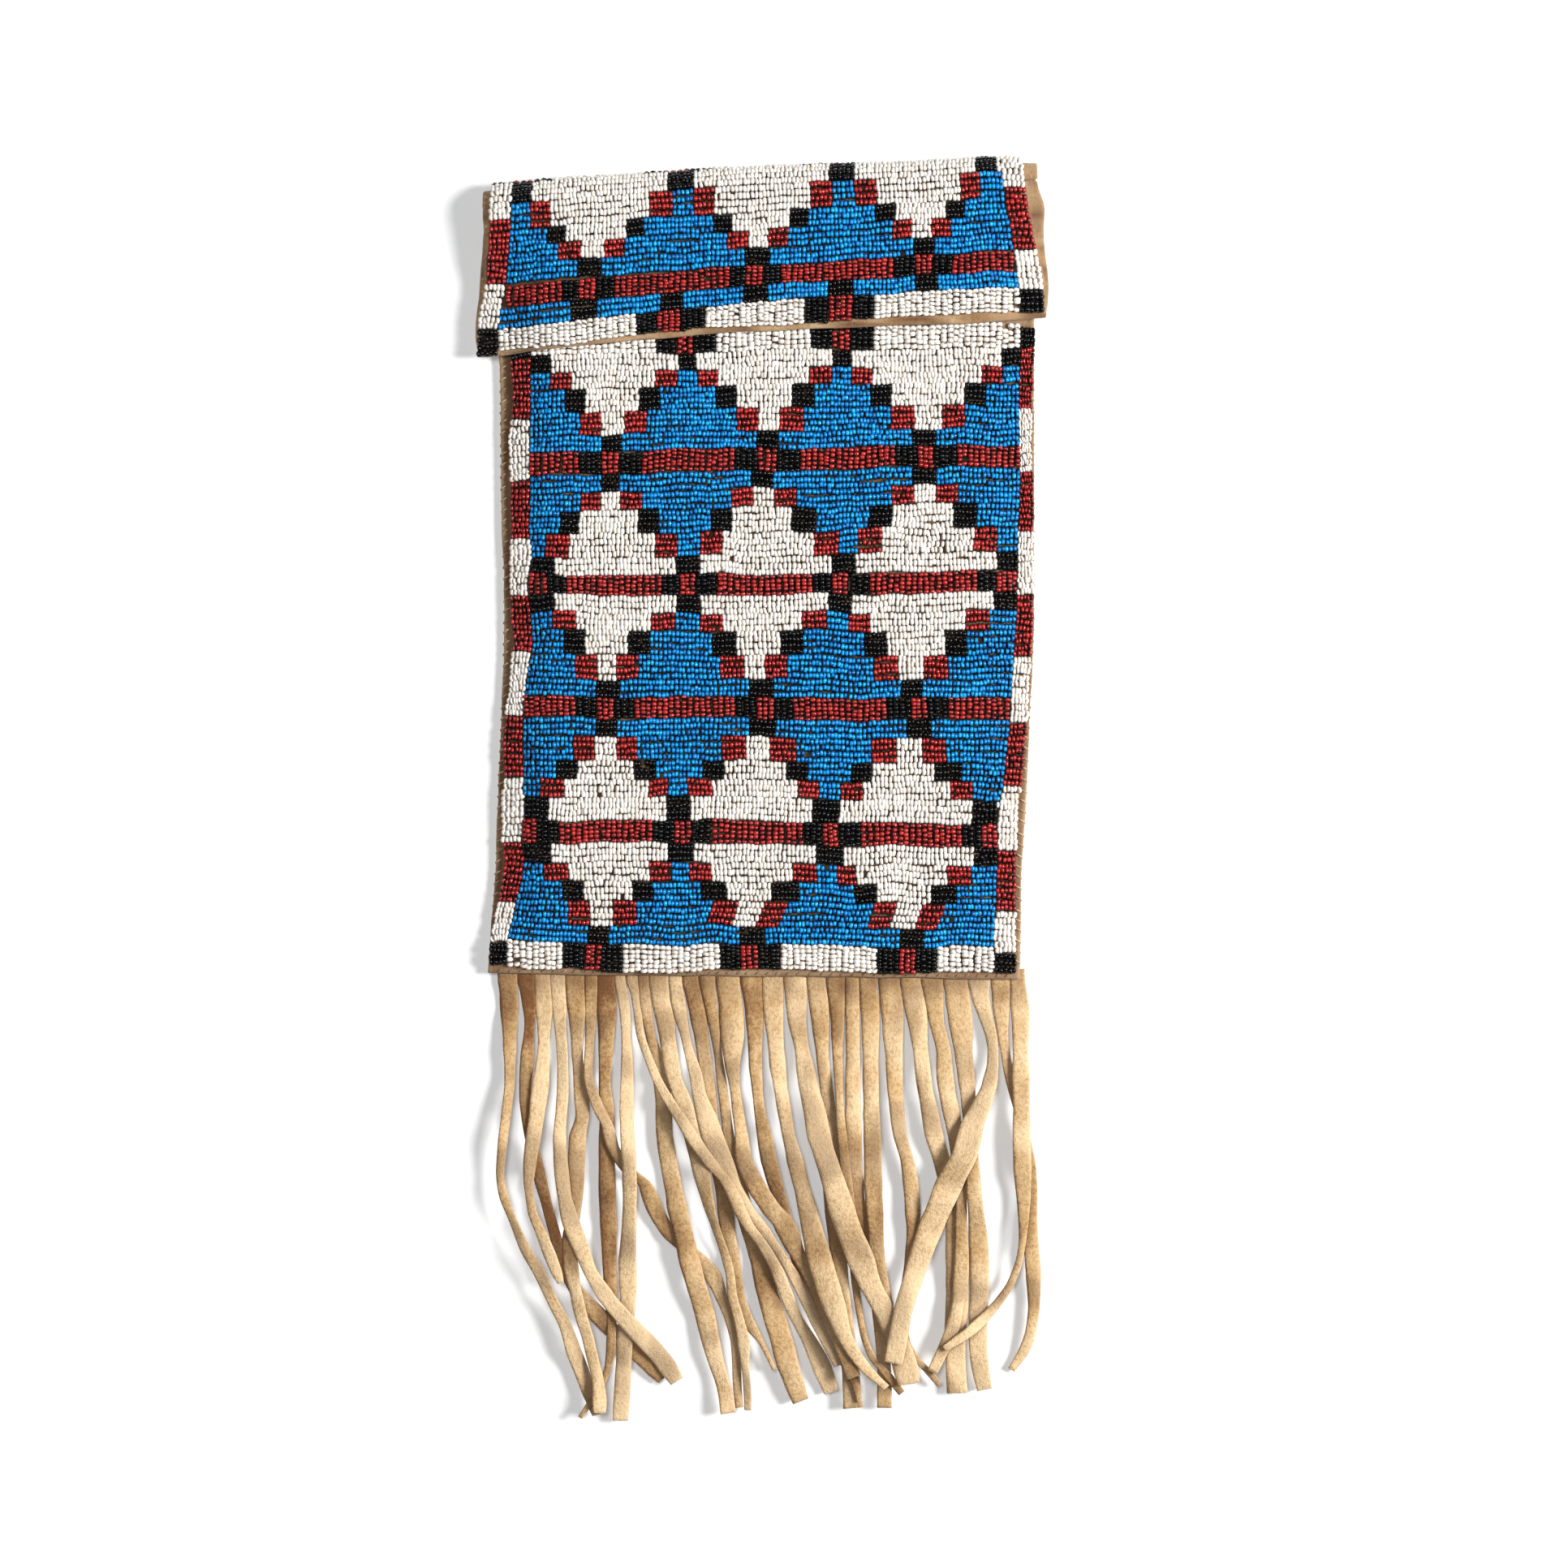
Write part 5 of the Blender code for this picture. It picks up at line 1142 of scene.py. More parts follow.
# ---------------------------------------------------------------- fringe
# thongs of the fringe, each cut from the heading: (y, left x, right x)
THONGS = {
    1: [(1206, 613, 635), (1240, 616, 636), (1277, 618, 636), (1338, 620, 634), (1376, 616, 630),
        (1415, 612, 625), (1450, 611, 621), (1477, 615, 628), (1508, 627, 641), (1538, 637.5, 656),
        (1568, 653.5, 676), (1600, 670, 688), (1636, 688, 706), (1668, 697, 717), (1698, 708, 728),
        (1728, 721, 738), (1746, 729, 741)],
    2: [(1206, 637, 656.5), (1258, 646, 657), (1307, 640, 657), (1353, 639, 654), (1392, 644, 660),
        (1440, 654, 670), (1480, 664, 680), (1522, 675, 692), (1560, 684, 704), (1590, 698, 722),
        (1615, 715, 746), (1640, 738, 768), (1665, 764, 793), (1688, 790, 815), (1703, 808, 823)],
    3: [(1206, 658, 676), (1246, 660, 678), (1284, 662, 676), (1338, 655, 676), (1376, 651, 671),
        (1415, 646, 664), (1438, 644, 660), (1466, 645.5, 657), (1492, 649, 662), (1522, 660, 676),
        (1553, 671, 689.5), (1570, 679, 695), (1581, 687, 696)],
    4: [(1206, 677.5, 694), (1261, 682, 696), (1307, 685, 699), (1353, 685, 700), (1400, 681, 697),
        (1438, 682, 700), (1476, 686.5, 705), (1507, 692, 715.5), (1538, 706, 727),
        (1568, 718.6, 738), (1600, 736, 761), (1630, 760, 788), (1652, 780, 810), (1683, 806, 835),
        (1704, 824, 844)],
    5: [(1206, 696, 718), (1246, 700, 719), (1307, 704, 718), (1345, 706, 725), (1376, 708, 726),
        (1400, 701, 722), (1438, 699, 720), (1476, 702, 718), (1507, 695, 714), (1530, 692, 708),
        (1558, 693, 713.5), (1584, 699.5, 716), (1614, 705.6, 723), (1642, 714, 730),
        (1675, 722.5, 737.5), (1701, 728.5, 744), (1729, 730, 747.5), (1742, 731, 746)],
    6: [(1206, 720, 734), (1246, 721, 733), (1292, 720, 731), (1330, 719, 731), (1362, 728, 743),
        (1388, 740, 756), (1415, 747, 763), (1440, 762, 780), (1461, 784, 803), (1480, 790, 813),
        (1500, 800, 822), (1522, 814, 836), (1553, 848, 873), (1568, 862, 886.5), (1584, 872, 893.4),
        (1599, 880, 896), (1621, 890, 903), (1652, 899, 911), (1683, 902, 913), (1713, 903, 914),
        (1737, 906, 916)],
    7: [(1206, 736, 755), (1246, 736, 757), (1307, 737, 754), (1338, 737, 752), (1361, 738, 755),
        (1400, 737, 758), (1430, 737, 757), (1476, 736.6, 758.5), (1522, 739, 759.6),
        (1566, 742, 759), (1600, 745, 760), (1640, 747, 759), (1667, 746, 757.6), (1690, 743, 752),
        (1712, 733, 743), (1735, 719, 727), (1748, 711, 717)],
    8: [(1206, 757, 768), (1246, 764, 774), (1292, 765, 778), (1322, 764, 780), (1384, 763, 781),
        (1438, 766, 784), (1476, 766, 785), (1515, 763.5, 785), (1553, 761, 784), (1599, 763, 784),
        (1642, 760, 780), (1680, 758, 778), (1719, 755.5, 776), (1753, 754.5, 773)],
    9: [(1206, 770, 784), (1223, 777, 786), (1246, 781, 788), (1277, 784, 794), (1304, 793, 804),
        (1332, 804, 817), (1358, 818, 833), (1385, 834, 852), (1400, 843, 862), (1430, 864, 883),
        (1461, 889.6, 906), (1492, 903, 921), (1507, 911.8, 928), (1538, 934, 950), (1568, 949, 967),
        (1599, 961, 979), (1621, 970, 987), (1652, 986, 1007), (1683, 999, 1024), (1718, 1015, 1035)],
    10: [(1206, 786, 797), (1246, 790, 801), (1277, 795, 807), (1310, 800, 818), (1350, 806, 827),
         (1400, 808, 829), (1430, 812, 833.7), (1461, 817, 840), (1492, 822, 847.5),
         (1522, 829, 854.4), (1553, 836, 862), (1584, 844.5, 871), (1621, 855, 881), (1652, 863, 887),
         (1683, 873, 893.4), (1713, 883, 902), (1743, 888, 907)],
    11: [(1206, 799, 822), (1231, 803, 824), (1261, 809, 830), (1292, 814, 834), (1330, 821, 841),
         (1360, 831, 854), (1392, 840, 861), (1415, 846.7, 867.4), (1446, 853, 876), (1476, 861, 881),
         (1507, 872, 887), (1538, 884, 896), (1568, 893, 905), (1600, 896, 909), (1630, 904, 918),
         (1652, 908, 924), (1683, 912.6, 923.5), (1713, 915, 926), (1740, 917, 926)],
    12: [(1206, 824, 838), (1239, 828, 843), (1269, 836, 848), (1300, 843, 856), (1323, 848, 865),
         (1350, 852, 871), (1376, 857, 883), (1402, 864, 893), (1430, 879, 904), (1461, 896, 914),
         (1492, 913, 931), (1507, 925.6, 943), (1538, 948.5, 963), (1568, 967, 983),
         (1599, 983, 1000.6), (1630, 998, 1014), (1652, 1010, 1027), (1668, 1019, 1035),
         (1683, 1027, 1040)],
    13: [(1206, 840, 858), (1231, 846, 864), (1254, 851, 869), (1277, 855, 872), (1315, 860, 878),
         (1346, 864, 882), (1376, 867, 885), (1400, 870, 889), (1430, 873, 891), (1461, 879.6, 897),
         (1492, 883.5, 904), (1522, 887, 906.4), (1553, 891, 911.8), (1584, 896, 915.6),
         (1606, 900, 920), (1625, 908, 928), (1640, 920, 936), (1655, 934, 942), (1670, 942, 949),
         (1689, 951, 957)],
    14: [(1206, 861, 879), (1261, 873, 885), (1307, 880, 891), (1338, 883, 896), (1369, 887, 900),
         (1400, 890, 905), (1430, 894, 912), (1461, 899, 920), (1492, 906, 928), (1522, 914, 938),
         (1553, 923, 948), (1584, 929, 956), (1614, 937, 965), (1652, 948.5, 976.8), (1683, 957, 985),
         (1713, 968, 993.7), (1729, 976, 998)],
    15: [(1206, 882, 909), (1246, 887, 914), (1277, 888, 916), (1315, 893, 912), (1338, 898, 912),
         (1369, 902, 916), (1399, 905, 922), (1430, 905, 928), (1461, 917, 944.7), (1492, 937, 966),
         (1507, 949, 980), (1538, 967, 991), (1568, 986, 1003), (1599, 1000, 1018),
         (1630, 1014, 1033), (1665, 1030, 1050), (1697, 1042, 1062)],
    16: [(1206, 912, 937), (1246, 919, 939), (1277, 921, 939), (1307, 922, 939), (1369, 929, 943),
         (1399, 932, 951), (1430, 936, 958.5), (1461, 945, 966), (1492, 958, 974), (1522, 966, 982),
         (1553, 974, 990), (1584, 984, 999), (1614, 998, 1012), (1645, 1014, 1028),
         (1680, 1034, 1047), (1710, 1050, 1060), (1729, 1056, 1063)],
    17: [(1206, 940, 963), (1246, 942, 964), (1277, 945, 965), (1307, 947, 968), (1338, 953, 970),
         (1369, 958, 975), (1400, 963.8, 980), (1430, 969, 990), (1461, 977, 997.5),
         (1492, 983, 1007.5), (1522, 988, 1016), (1553, 994.5, 1026), (1584, 1003, 1036),
         (1614, 1016, 1044), (1642, 1029, 1050), (1663, 1041, 1060), (1685, 1058, 1076),
         (1710, 1086, 1099)],
    18: [(1206, 966, 992), (1231, 969, 993), (1261, 972, 993), (1284, 977, 996), (1315, 981, 1003),
         (1338, 984, 1008), (1369, 990, 1017), (1399, 994, 1024), (1438, 1007, 1035),
         (1471, 1016, 1047), (1497, 1022, 1056), (1527, 1033, 1067), (1553, 1043, 1079),
         (1584, 1058, 1088), (1606, 1071, 1099), (1635, 1083, 1112), (1665, 1094, 1125),
         (1690, 1101, 1133), (1706, 1106, 1134)],
    19: [(1206, 995, 1015), (1246, 999, 1021), (1307, 1006, 1022), (1338, 1010, 1026),
         (1369, 1012, 1030), (1420, 1013, 1034), (1461, 1014, 1036), (1507, 1018, 1040),
         (1553, 1024, 1044), (1600, 1030, 1048), (1650, 1034, 1054), (1700, 1038, 1060),
         (1737, 1039, 1064)],
    20: [(1206, 1019, 1040), (1246, 1024, 1040), (1292, 1025, 1039), (1338, 1028, 1039),
         (1376, 1030, 1041), (1420, 1033, 1046), (1470, 1038, 1052), (1520, 1044, 1058),
         (1580, 1049, 1059), (1621, 1055, 1064), (1652, 1061, 1071), (1676, 1071, 1082),
         (1695, 1087, 1100), (1718, 1106, 1117)],
    21: [(1206, 1043, 1057), (1231, 1043, 1058), (1300, 1042, 1060), (1370, 1041, 1061),
         (1400, 1041, 1062), (1440, 1042, 1063), (1476, 1045, 1066), (1515, 1052, 1070),
         (1560, 1062, 1078), (1600, 1072, 1088), (1650, 1078, 1096), (1700, 1081, 1099),
         (1737, 1081, 1099)],
    22: [(1206, 1060, 1080), (1246, 1062, 1083), (1338, 1063, 1083), (1369, 1063.5, 1084),
         (1430, 1064.5, 1086.5), (1461, 1065, 1087.5), (1502, 1067, 1089), (1553, 1072, 1091),
         (1584, 1080, 1096), (1612, 1088, 1102)],
    23: [(1206, 1083, 1107), (1246, 1087, 1113), (1277, 1089, 1113), (1307, 1091, 1113),
         (1338, 1093, 1113), (1369, 1096, 1115), (1400, 1101, 1118), (1430, 1109, 1126.5),
         (1461, 1113, 1132.5), (1492, 1115, 1135), (1522, 1117, 1133), (1553, 1115, 1130),
         (1600, 1109, 1122), (1640, 1109, 1120), (1658, 1113, 1124), (1675, 1124, 1135),
         (1692, 1139, 1150), (1709, 1154, 1164)],
    24: [(1206, 1110, 1133), (1246, 1117, 1142), (1277, 1123, 1143), (1307, 1126, 1146),
         (1338, 1130, 1149), (1369, 1135, 1156), (1400, 1140, 1163), (1425, 1148, 1170),
         (1455, 1156, 1179), (1484, 1162, 1187), (1507, 1165, 1191), (1553, 1165.6, 1192),
         (1600, 1166, 1194), (1652, 1164, 1190), (1690, 1166, 1191), (1719, 1167, 1193)],
    25: [(1206, 1136, 1161), (1231, 1141, 1162), (1261, 1147, 1163), (1292, 1153, 1172),
         (1323, 1154, 1175), (1353, 1158, 1179), (1376, 1163, 1184), (1400, 1168, 1186),
         (1440, 1174, 1190), (1484, 1177.8, 1191.6), (1520, 1177, 1192.5), (1553, 1176, 1194),
         (1584, 1174, 1193), (1614, 1171.7, 1187), (1636, 1165, 1183), (1660, 1156, 1172),
         (1692, 1141, 1156)],
    26: [(1206, 1164, 1191), (1246, 1169, 1197), (1277, 1173, 1199), (1307, 1177, 1200),
         (1338, 1182, 1202), (1380, 1187, 1205), (1430, 1190, 1206), (1461, 1190, 1209),
         (1492, 1193, 1212), (1522, 1194, 1217), (1553, 1195, 1219), (1584, 1195, 1219),
         (1621, 1194.6, 1217.6), (1660, 1194.5, 1217), (1690, 1198, 1220), (1715, 1204.6, 1224)],
    27: [(1206, 1194, 1220), (1231, 1200, 1219), (1254, 1208, 1223), (1277, 1215, 1229),
         (1292, 1217, 1231), (1315, 1216, 1231), (1338, 1209, 1229), (1361, 1197, 1223),
         (1384, 1184, 1215), (1425, 1170, 1204), (1451, 1155, 1191), (1484, 1142, 1176),
         (1515, 1130, 1163), (1543, 1122, 1150), (1575, 1112, 1138), (1608, 1102, 1127),
         (1650, 1093, 1119), (1680, 1089, 1112)],
    28: [(1206, 1223, 1244), (1246, 1226, 1243), (1277, 1230, 1243), (1307, 1235, 1247),
         (1345, 1243, 1255), (1390, 1255, 1267), (1430, 1264, 1276), (1464, 1267, 1279),
         (1502, 1264, 1279), (1540, 1262, 1281), (1566, 1264, 1283), (1617, 1267, 1281.5),
         (1642, 1264, 1278), (1668, 1254.5, 1269.5), (1691, 1241, 1253)],
    29: [(1206, 1247, 1262), (1246, 1248, 1268), (1307, 1248, 1268), (1369, 1248, 1270),
         (1400, 1248, 1270), (1438, 1249, 1271), (1476, 1253, 1270.5), (1507, 1255, 1268),
         (1535, 1255, 1264), (1560, 1250, 1259), (1584, 1240, 1251), (1606, 1223, 1237),
         (1621, 1208, 1226), (1640, 1185, 1206), (1652, 1168, 1188), (1662, 1155, 1170)],
}
# the order in which the thongs lie, lowest first
PILE = [2, 1, 7, 5, 6, 8, 14, 19, 21, 22, 16, 13, 12, 10, 11, 9, 3, 4, 15, 17, 23, 20, 18,
        24, 28, 25, 26, 27, 29]


def smooth_curve(s, v, q):
    m = np.gradient(v, s)
    k = np.clip(np.searchsorted(s, q) - 1, 0, len(s) - 2)
    h = s[k + 1] - s[k]
    t = (q - s[k]) / h
    a = v[k] * (1 + 2 * t) * (1 - t) ** 2 + v[k + 1] * t * t * (3 - 2 * t)
    return a + h * m[k] * t * (1 - t) ** 2 * 0.8 + h * m[k + 1] * t * t * (t - 1) * 0.8


def thong_path(rows, step):
    t = np.array([[0.5 * (a + b), y, b - a] for y, a, b in rows], float)
    seg = np.hypot(np.diff(t[:, 0]), np.diff(t[:, 1]))
    s = np.concatenate([[0], np.cumsum(seg)])
    n = max(4, int(round(s[-1] * U / step)))
    q = np.linspace(0, s[-1], n + 1)
    out = np.stack([smooth_curve(s, t[:, c], q) for c in range(3)], 1)
    d = np.gradient(out[:, :2], axis=0)
    d /= np.linalg.norm(d, axis=1)[:, None]
    half = 0.5 * out[:, 2] * np.abs(d[:, 1]) - SLIT / 2
    return out[:, 0], out[:, 1], d, np.maximum(half, 2.0)


CELL = 0.5 * MM
ROOT = 9 * MM


def drape():
    """heights of the thongs: each lies on the floor and on those laid before it"""
    gx, gy = int(0.24 / CELL), int(0.20 / CELL)
    top = np.zeros((gx, gy))
    laid = {}
    for name in PILE:
        x, y, d, half = thong_path(THONGS[name], 0.0005)
        n = np.stack([-d[:, 1], d[:, 0]], 1)
        w = np.linspace(-1, 1, 25)[None, :]
        reach = half[:, None] + 0.1 * MM / U
        px, py = P(x[:, None] + n[:, 0:1] * reach * w, y[:, None] + n[:, 1:2] * reach * w)
        i = np.clip(((px + 0.12) / CELL).astype(int), 0, gx - 1)
        j = np.clip(((-0.05 - py) / CELL).astype(int), 0, gy - 1)
        s = np.arange(len(x)) * 0.0005
        under = top[i, j].max(axis=1)
        need = np.where(under > 0, under + 0.55 * MM, 0.0)
        own = (0.2 + 3.0 * (0.5 + 0.5 * noise(s / U, 17.0 * name, 170, 84)) ** 1.5) * MM * ease((s - 10 * MM) / (32 * MM))
        need = np.maximum(need, own)
        need[s < ROOT] = 0
        win = 7
        ramp_z = np.array([need[max(0, k - win):k + win + 1].max() for k in range(len(need))])
        fall = 0.30 * 0.0005
        for k in range(1, len(ramp_z)):
            ramp_z[k] = max(ramp_z[k], ramp_z[k - 1] - fall)
        for k in range(len(ramp_z) - 2, -1, -1):
            ramp_z[k] = max(ramp_z[k], ramp_z[k + 1] - fall)
        z = np.convolve(np.pad(ramp_z, win, mode="edge"), np.ones(2 * win + 1) / (2 * win + 1), "valid")
        root = HEAD_Z * (1 - ease(s / (12 * MM)))
        z = root + z * ease((s - 1 * MM) / (8 * MM))
        z = np.maximum(z, np.where(s < ROOT, 0, need))
        np.maximum.at(top, (i, j), np.broadcast_to((z + THONG)[:, None], i.shape))
        laid[name] = (x, y, d, n, half, z, s)
    return laid


STAINS = [(1042, 1216, 14, 0.9), (1015, 1212, 10, 0.5), (945, 1560, 13, 0.8), (920, 1452, 9, 0.7), (893, 1500, 14, 0.6),
          (766, 1672, 14, 0.6), (1070, 1222, 10, 0.4), (640, 1222, 12, 0.4), (735, 1215, 14, 0.35), (870, 1215, 14, 0.35)]
SMOOTH = {3: 0.35, 4: 0.45, 8: 0.45, 27: 0.4, 26: 0.15, 12: 0.4, 9: 0.35, 24: 0.15, 18: 0.25, 29: 0.1, 17: 0.15,
          7: -0.35, 2: -0.30, 16: -0.3, 14: -0.1, 13: -0.1, 20: -0.2, 1: 0.1, 11: 0.15}


def fringe_lift(x, y):
    """the stiff thongs don't lie flat: one gentle relief lifts and tilts them all, so that they keep their order"""
    down = (y - bottom_y(x)) * U
    wide = 0.5 + 0.5 * noise(x, y, 130, 81)
    left = ease((760 - x) / 120.0) * ease((y - 1290) / 90.0)
    low = ease((770 - x) / 150.0) * ease((y - 1440) / 260.0)
    z = (0.2 + 1.5 * wide + 1.5 * left + 3.2 * low) * MM * ease((down - 4 * MM) / (30 * MM))
    return z + (1.1 * noise(x, y, 36, 82) + 0.5 * noise(x, y, 17, 83)) * MM * ease((down - 8 * MM) / (25 * MM)) + \
        0.9 * MM * ease((down - 6 * MM) / (12 * MM))


TWIST = {1: 40.0, 2: 34.0, 3: 30.0, 5: 20.0, 8: 24.0, 11: 36.0, 16: 20.0, 20: 26.0, 23: 20.0, 27: 22.0}     # degrees


def thong_shadow(laid, name, X, Y, Z):
    """how closely a point lies beside or under the thongs above it, 0 to 1: the painted shadow they cast, shifted a
    little left and down
    """
    best = np.zeros(X.shape)
    for other in sorted(laid):
        if other == name:
            continue
        x, y, d, n, half, z, s = laid[other]
        x, y, half, z = x[::6], y[::6], half[::6], z[::6]
        if x.max() < X.min() - 30 or x.min() > X.max() + 30:
            continue
        away = np.hypot(X[..., None] - x + 5.0, Y[..., None] - y - 1.0) - half
        above = ease((z - Z[..., None] - 0.3 * MM) / (1.0 * MM))
        best = np.maximum(best, (above * np.exp(-(np.maximum(away, 0) / 7.5) ** 2)).max(-1))
    return best


def fringe():
    laid = drape()
    m = 12
    verts, quads, caps, tone, stain, base = [], [], [], [], [], 0
    t = 2 * math.pi * np.arange(m) / m
    ct, st = np.cos(t), np.sin(t)
    prof_u = np.sign(ct) * np.abs(ct) ** 0.62
    prof_v = np.sign(st) * np.abs(st) ** 0.72
    for name in sorted(THONGS):
        x, y, d, n, half, z, s = laid[name]
        pick = np.unique(np.round(np.linspace(0, len(x) - 1, int(s[-1] / (1.55 * MM)) + 1)).astype(int))
        x, y, n, half, z, s = x[pick], y[pick], n[pick], half[pick], z[pick], s[pick]
        if n[len(n) // 2, 0] < 0:
            n = -n
        px, py = P(x, y)
        nn = np.stack([n[:, 0], -n[:, 1], np.zeros(len(n))], -1)
        free = ease((s - 6 * MM) / (10 * MM))
        camber = (0.15 + 0.45 * noise(s / U, 7.0 * name, 70, 60)) * MM * free
        bank = np.radians(13.0) * noise(s / U, 3.0 * name, 90, 61) * free
        bank = bank + np.radians(TWIST.get(name, 0.0)) * noise(s / U, 17.0 * name, 75, 90) * free
        ragged = 1 + 0.05 * noise(s / U, 5.0 * name, 18, 62)
        closed = 1.7 * (1 - ease((y - 1240) / 55.0)) + 0.9
        w = ((half + closed) * ragged * U)[:, None]
        wl = w * (1 + 0.04 * noise(s / U, 9.0 * name, 14, 63))[:, None]
        u = prof_u[None, :]
        width = np.where(u > 0, w, wl)
        zz = (z + THONG / 2)[:, None] + prof_v[None, :] * (THONG / 2) * 0.98
        lift = camber[:, None] * (1 - u ** 2) + np.maximum(0, np.sin(np.abs(bank))[:, None] * w)
        pos = np.stack([px[:, None] + nn[:, 0:1] * u * width * np.cos(bank)[:, None],
                        py[:, None] + nn[:, 1:2] * u * width * np.cos(bank)[:, None],
                        zz + lift + np.sin(bank)[:, None] * u * width * 0.6], -1)
        pos[..., 2] = np.maximum(pos[..., 2] + fringe_lift(pos[..., 0] / U + CX, CY - pos[..., 1] / U), 0.0)
        rows = len(x)
        pos[-1] = pos[-2] * 0.12 + pos[-1] * 0.88
        pos[0, :, 1] += 11 * U
        verts.append(pos.reshape(-1, 3))
        k = np.arange(m)
        for q in range(rows - 1):
            quads.append(np.stack([base + q * m + k, base + (q + 1) * m + k, base + (q + 1) * m + (k + 1) % m,
                                   base + q * m + (k + 1) % m], -1))
        caps += [base + k, base + (rows - 1) * m + k[::-1]]
        level = SMOOTH.get(name, 0.0)
        tn = 0.40 + 1.2 * level + 0.28 * noise(s / U, 11.0 * name, 150, 64) + 0.20 * noise(s / U, 13.0 * name, 34, 68)
        tn = tn - 0.26 * (1 - ease((s - 2 * MM) / (38 * MM))) + 0.06 * math.sin(5.3 * name)
        # painted shade on the left edge and the underside, a painted highlight on the right edge, and streaks of colour
        # along the thong
        side_shade_and_streaks = np.where(u < 0, 0.75, -0.14) * np.abs(u) ** 5 + 0.70 * (prof_v[None, :] < -0.3)
        side_shade_and_streaks = side_shade_and_streaks + 0.16 * noise((s / U)[:, None] * 0.22 + 0 * u, u * 9 + 31.0 * name, 7, 93)
        tone.append((tn[:, None] - side_shade_and_streaks).ravel())
        sp = np.zeros(pos.shape[:2])
        X, Y = pos[..., 0] / U + CX, CY - pos[..., 1] / U
        for sx, sy, sr, sa in STAINS:
            sp = np.maximum(sp, sa * np.exp(-((X - sx) ** 2 + ((Y - sy) * 0.7) ** 2) / sr ** 2))
        sp = np.maximum(sp, (0.42 + 0.45 * noise(X, Y, 22, 65)) * (1 - ease((Y - bottom_y(X)) / 48.0)))
        sp = np.maximum(sp, 0.42 * ease(noise(X, Y, 55, 69) * 2.2 - 0.6))
        sp = np.maximum(sp, 0.40 * ease(noise(X * 1.6, Y * 0.5, 30, 79) * 2.4 - 0.7) * (1 - ease((Y - 1330) / 120.0)))
        # painted shadow of the thongs that lie above
        sp = np.maximum(sp, (0.25 + 0.41 * ease((Y - 1260) / 90.0)) * thong_shadow(laid, name, X, Y, np.repeat(z[:, None], m, 1)))
        stain.append(np.clip(sp, 0, 1).ravel())
        base += rows * m
    verts, quads, caps = np.concatenate(verts), np.concatenate(quads), np.array(caps)
    q = quads[len(quads) // 2]
    ob = make_mesh("fringe_thongs", verts, [quads, caps], [MAT_THONG])
    c = verts[quads]
    vol = (c[:, 0] * np.cross(c[:, 1] - c[:, 0], c[:, 2] - c[:, 0])).sum() + \
        (c[:, 0] * np.cross(c[:, 2] - c[:, 0], c[:, 3] - c[:, 0])).sum()
    if vol < 0:
        ob.data.flip_normals()
    add_floats(ob, tone=np.concatenate(tone), stain=np.concatenate(stain))
    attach(ob, "bag")
    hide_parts("fringe")
    return ob


def heading(fringe_ob):
    """the uncut strip of the fringe that is sewn in the bottom seam"""
    cols, rows = np.linspace(0, 1, 130), np.array([0, 0.12, 0.5, 0.88, 1.0])
    xi = np.repeat((614 + (1262 - 614) * cols)[:, None], len(rows), 1)
    yi = bottom_y(xi) + 1.5 - 17.0 * rows[None, :]
    xi = np.where(yi < bottom_y(xi), np.minimum(xi, 1253), xi)
    px, py = P(xi, yi)
    zu = np.full_like(px, HEAD_Z)
    ob, verts = sheet_mesh("fringe_heading", np.stack([px, py, zu], -1), np.stack([px, py, zu + THONG * 0.9], -1), MAT_THONG)
    x, y = plan_of(verts)
    add_floats(ob, tone=0.15 + 0.15 * noise(x, y, 40, 66), stain=np.clip(0.35 + 0.3 * noise(x, y, 30, 67), 0, 1))
    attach(ob, "bag")


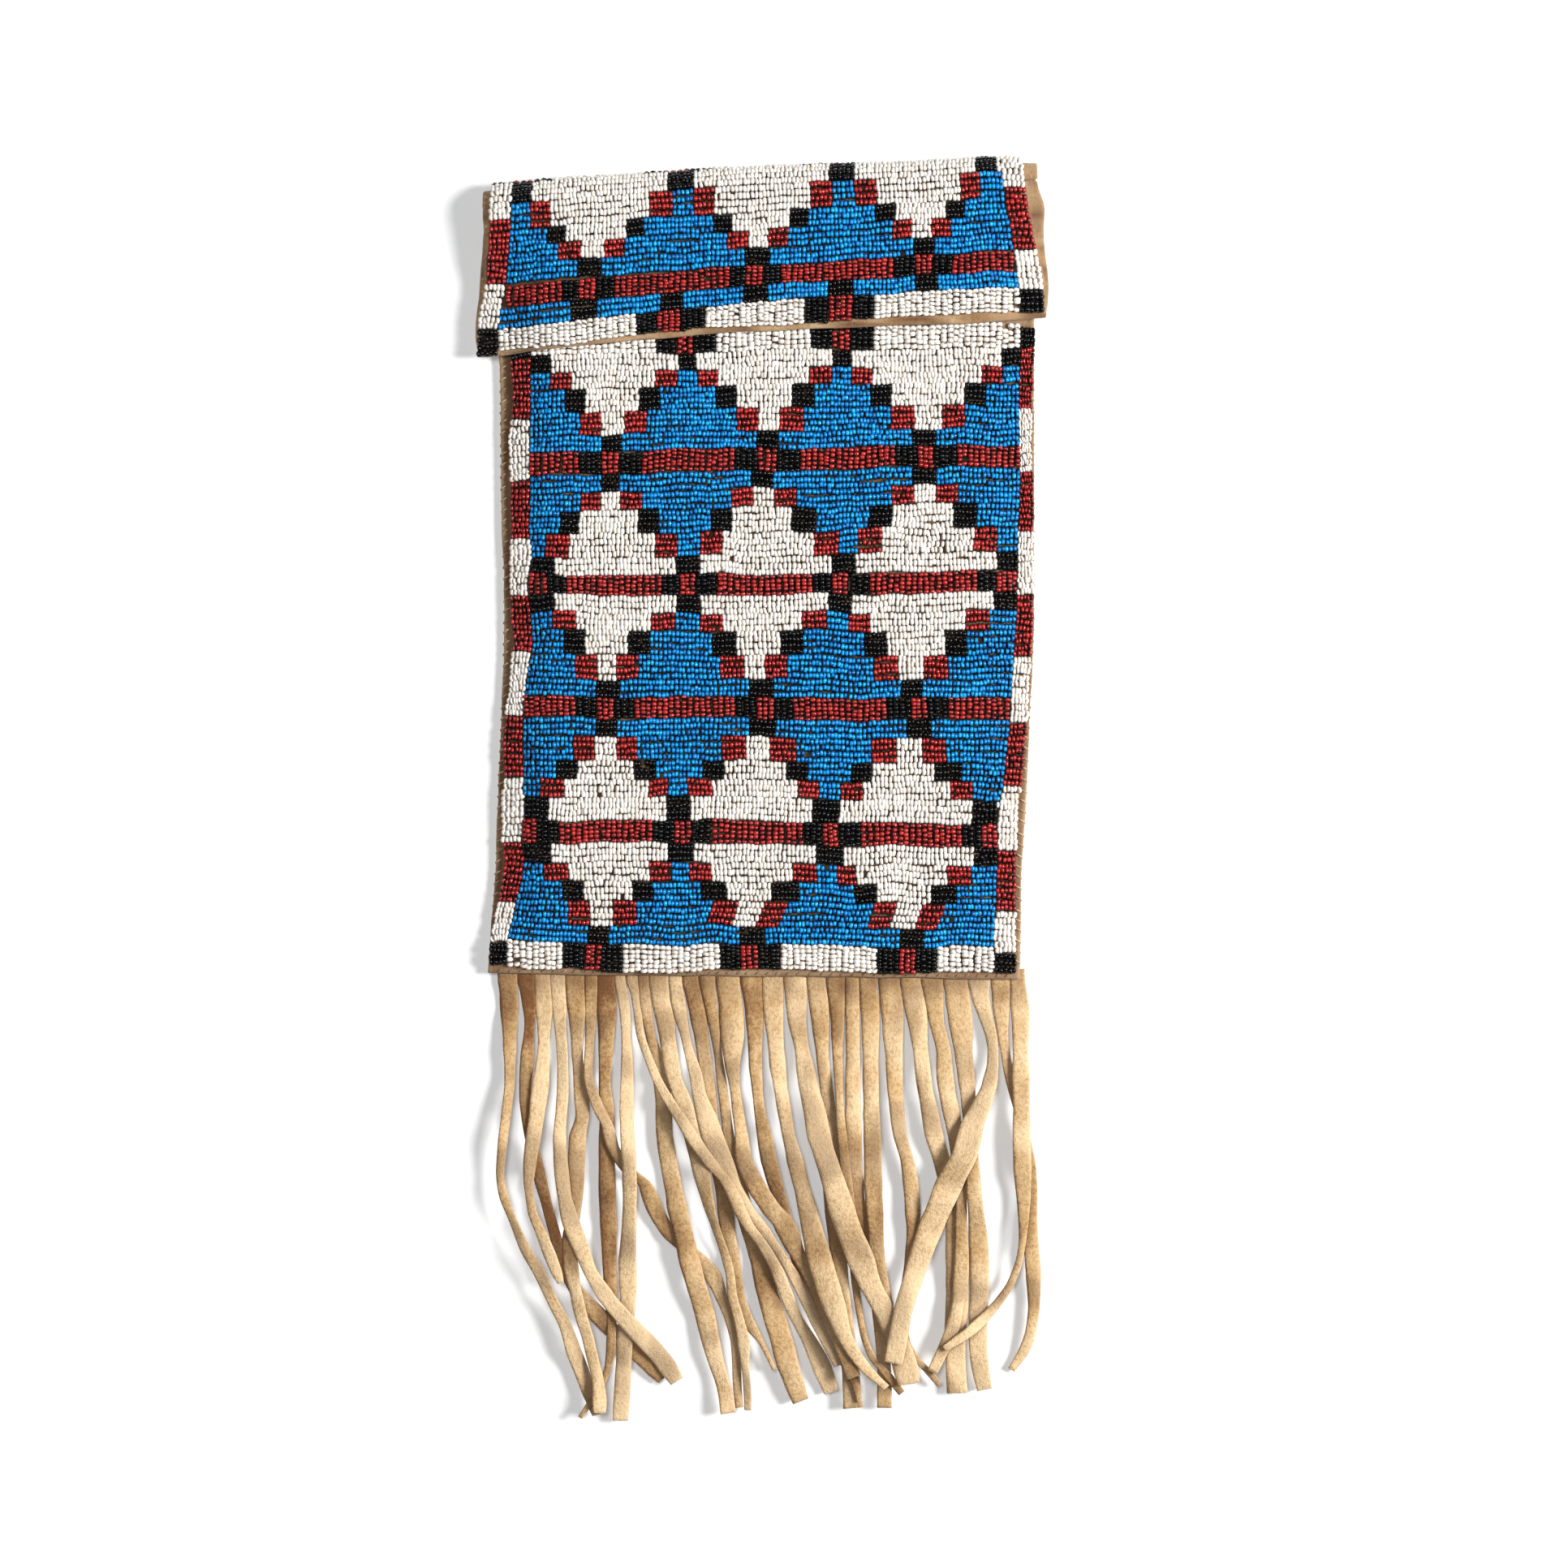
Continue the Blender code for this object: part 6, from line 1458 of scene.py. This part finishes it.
# ---------------------------------------------------------------- stage
def stage():
    m, nt, p = node_material("pale_floor")
    p.inputs["Base Color"].default_value = (0.86, 0.86, 0.86, 1)
    p.inputs["Emission Color"].default_value = (0.94, 0.985, 1.0, 1)
    p.inputs["Emission Strength"].default_value = 0.20
    p.inputs["Roughness"].default_value = 0.9
    p.inputs["Specular IOR Level"].default_value = 0.1
    me = bpy.data.meshes.new("floor")
    me.from_pydata([(-4, -4, 0), (4, -4, 0), (4, 4, 0), (-4, 4, 0)], [], [(0, 1, 2, 3)])
    me.materials.append(m)
    floor = bpy.data.objects.new("floor", me)
    bpy.context.scene.collection.objects.link(floor)
    floor.location.z = -0.00005
    floor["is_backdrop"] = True

    scene = bpy.context.scene
    cam = bpy.data.cameras.new("camera")
    cam.lens, cam.sensor_width = 101.65, 36.0
    cam.clip_start, cam.clip_end = 0.05, 20
    ob = bpy.data.objects.new("camera", cam)
    x, y = P(966, 966)
    ob.location = (x, y, 1.508)
    scene.collection.objects.link(ob)
    scene.camera = ob

    def area(name, where, size, power, colour=(1, 1, 1)):
        d = bpy.data.lights.new(name, "AREA")
        d.shape, d.size, d.energy, d.color = "DISK", size, power, colour
        o = bpy.data.objects.new(name, d)
        o.location = where
        aim = np.array([0.0, 0.0, 0.0]) - np.array(where)
        from mathutils import Vector
        o.rotation_euler = Vector(aim).to_track_quat("-Z", "Y").to_euler()
        scene.collection.objects.link(o)
    area("key", (1.37, 0.15, 1.16), 0.62, 49, (1.0, 0.985, 0.965))
    area("top", (-0.25, 0.40, 2.1), 0.60, 16, (1.0, 1.0, 1.0))
    area("left", (-1.4, -0.3, 1.1), 1.0, 2.0, (0.97, 0.985, 1.0))
    world = bpy.data.worlds.new("world")
    scene.world = world
    world.use_nodes = True
    world.node_tree.nodes["Background"].inputs["Color"].default_value = (1, 1, 1, 1)
    world.node_tree.nodes["Background"].inputs["Strength"].default_value = 0.06
    scene.view_settings.view_transform = "Standard"
    scene.view_settings.look = "None"


stage()
fringe_ob = fringe()
heading(fringe_ob)
front_hide()
back_hide()
flap_hide()
front_beads()
flap_beads()
whip_stitches("stitches_left", "seam_left", BACK_L, -1, 71)
whip_stitches("stitches_right", "seam_right", BACK_R, 1, 72)
hem_stitches()

tris = {o.name: sum(len(p.vertices) - 2 for p in o.data.polygons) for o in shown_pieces()}
print("triangles", sum(tris.values()), "largest", max(tris.values()), max(tris, key=tris.get))
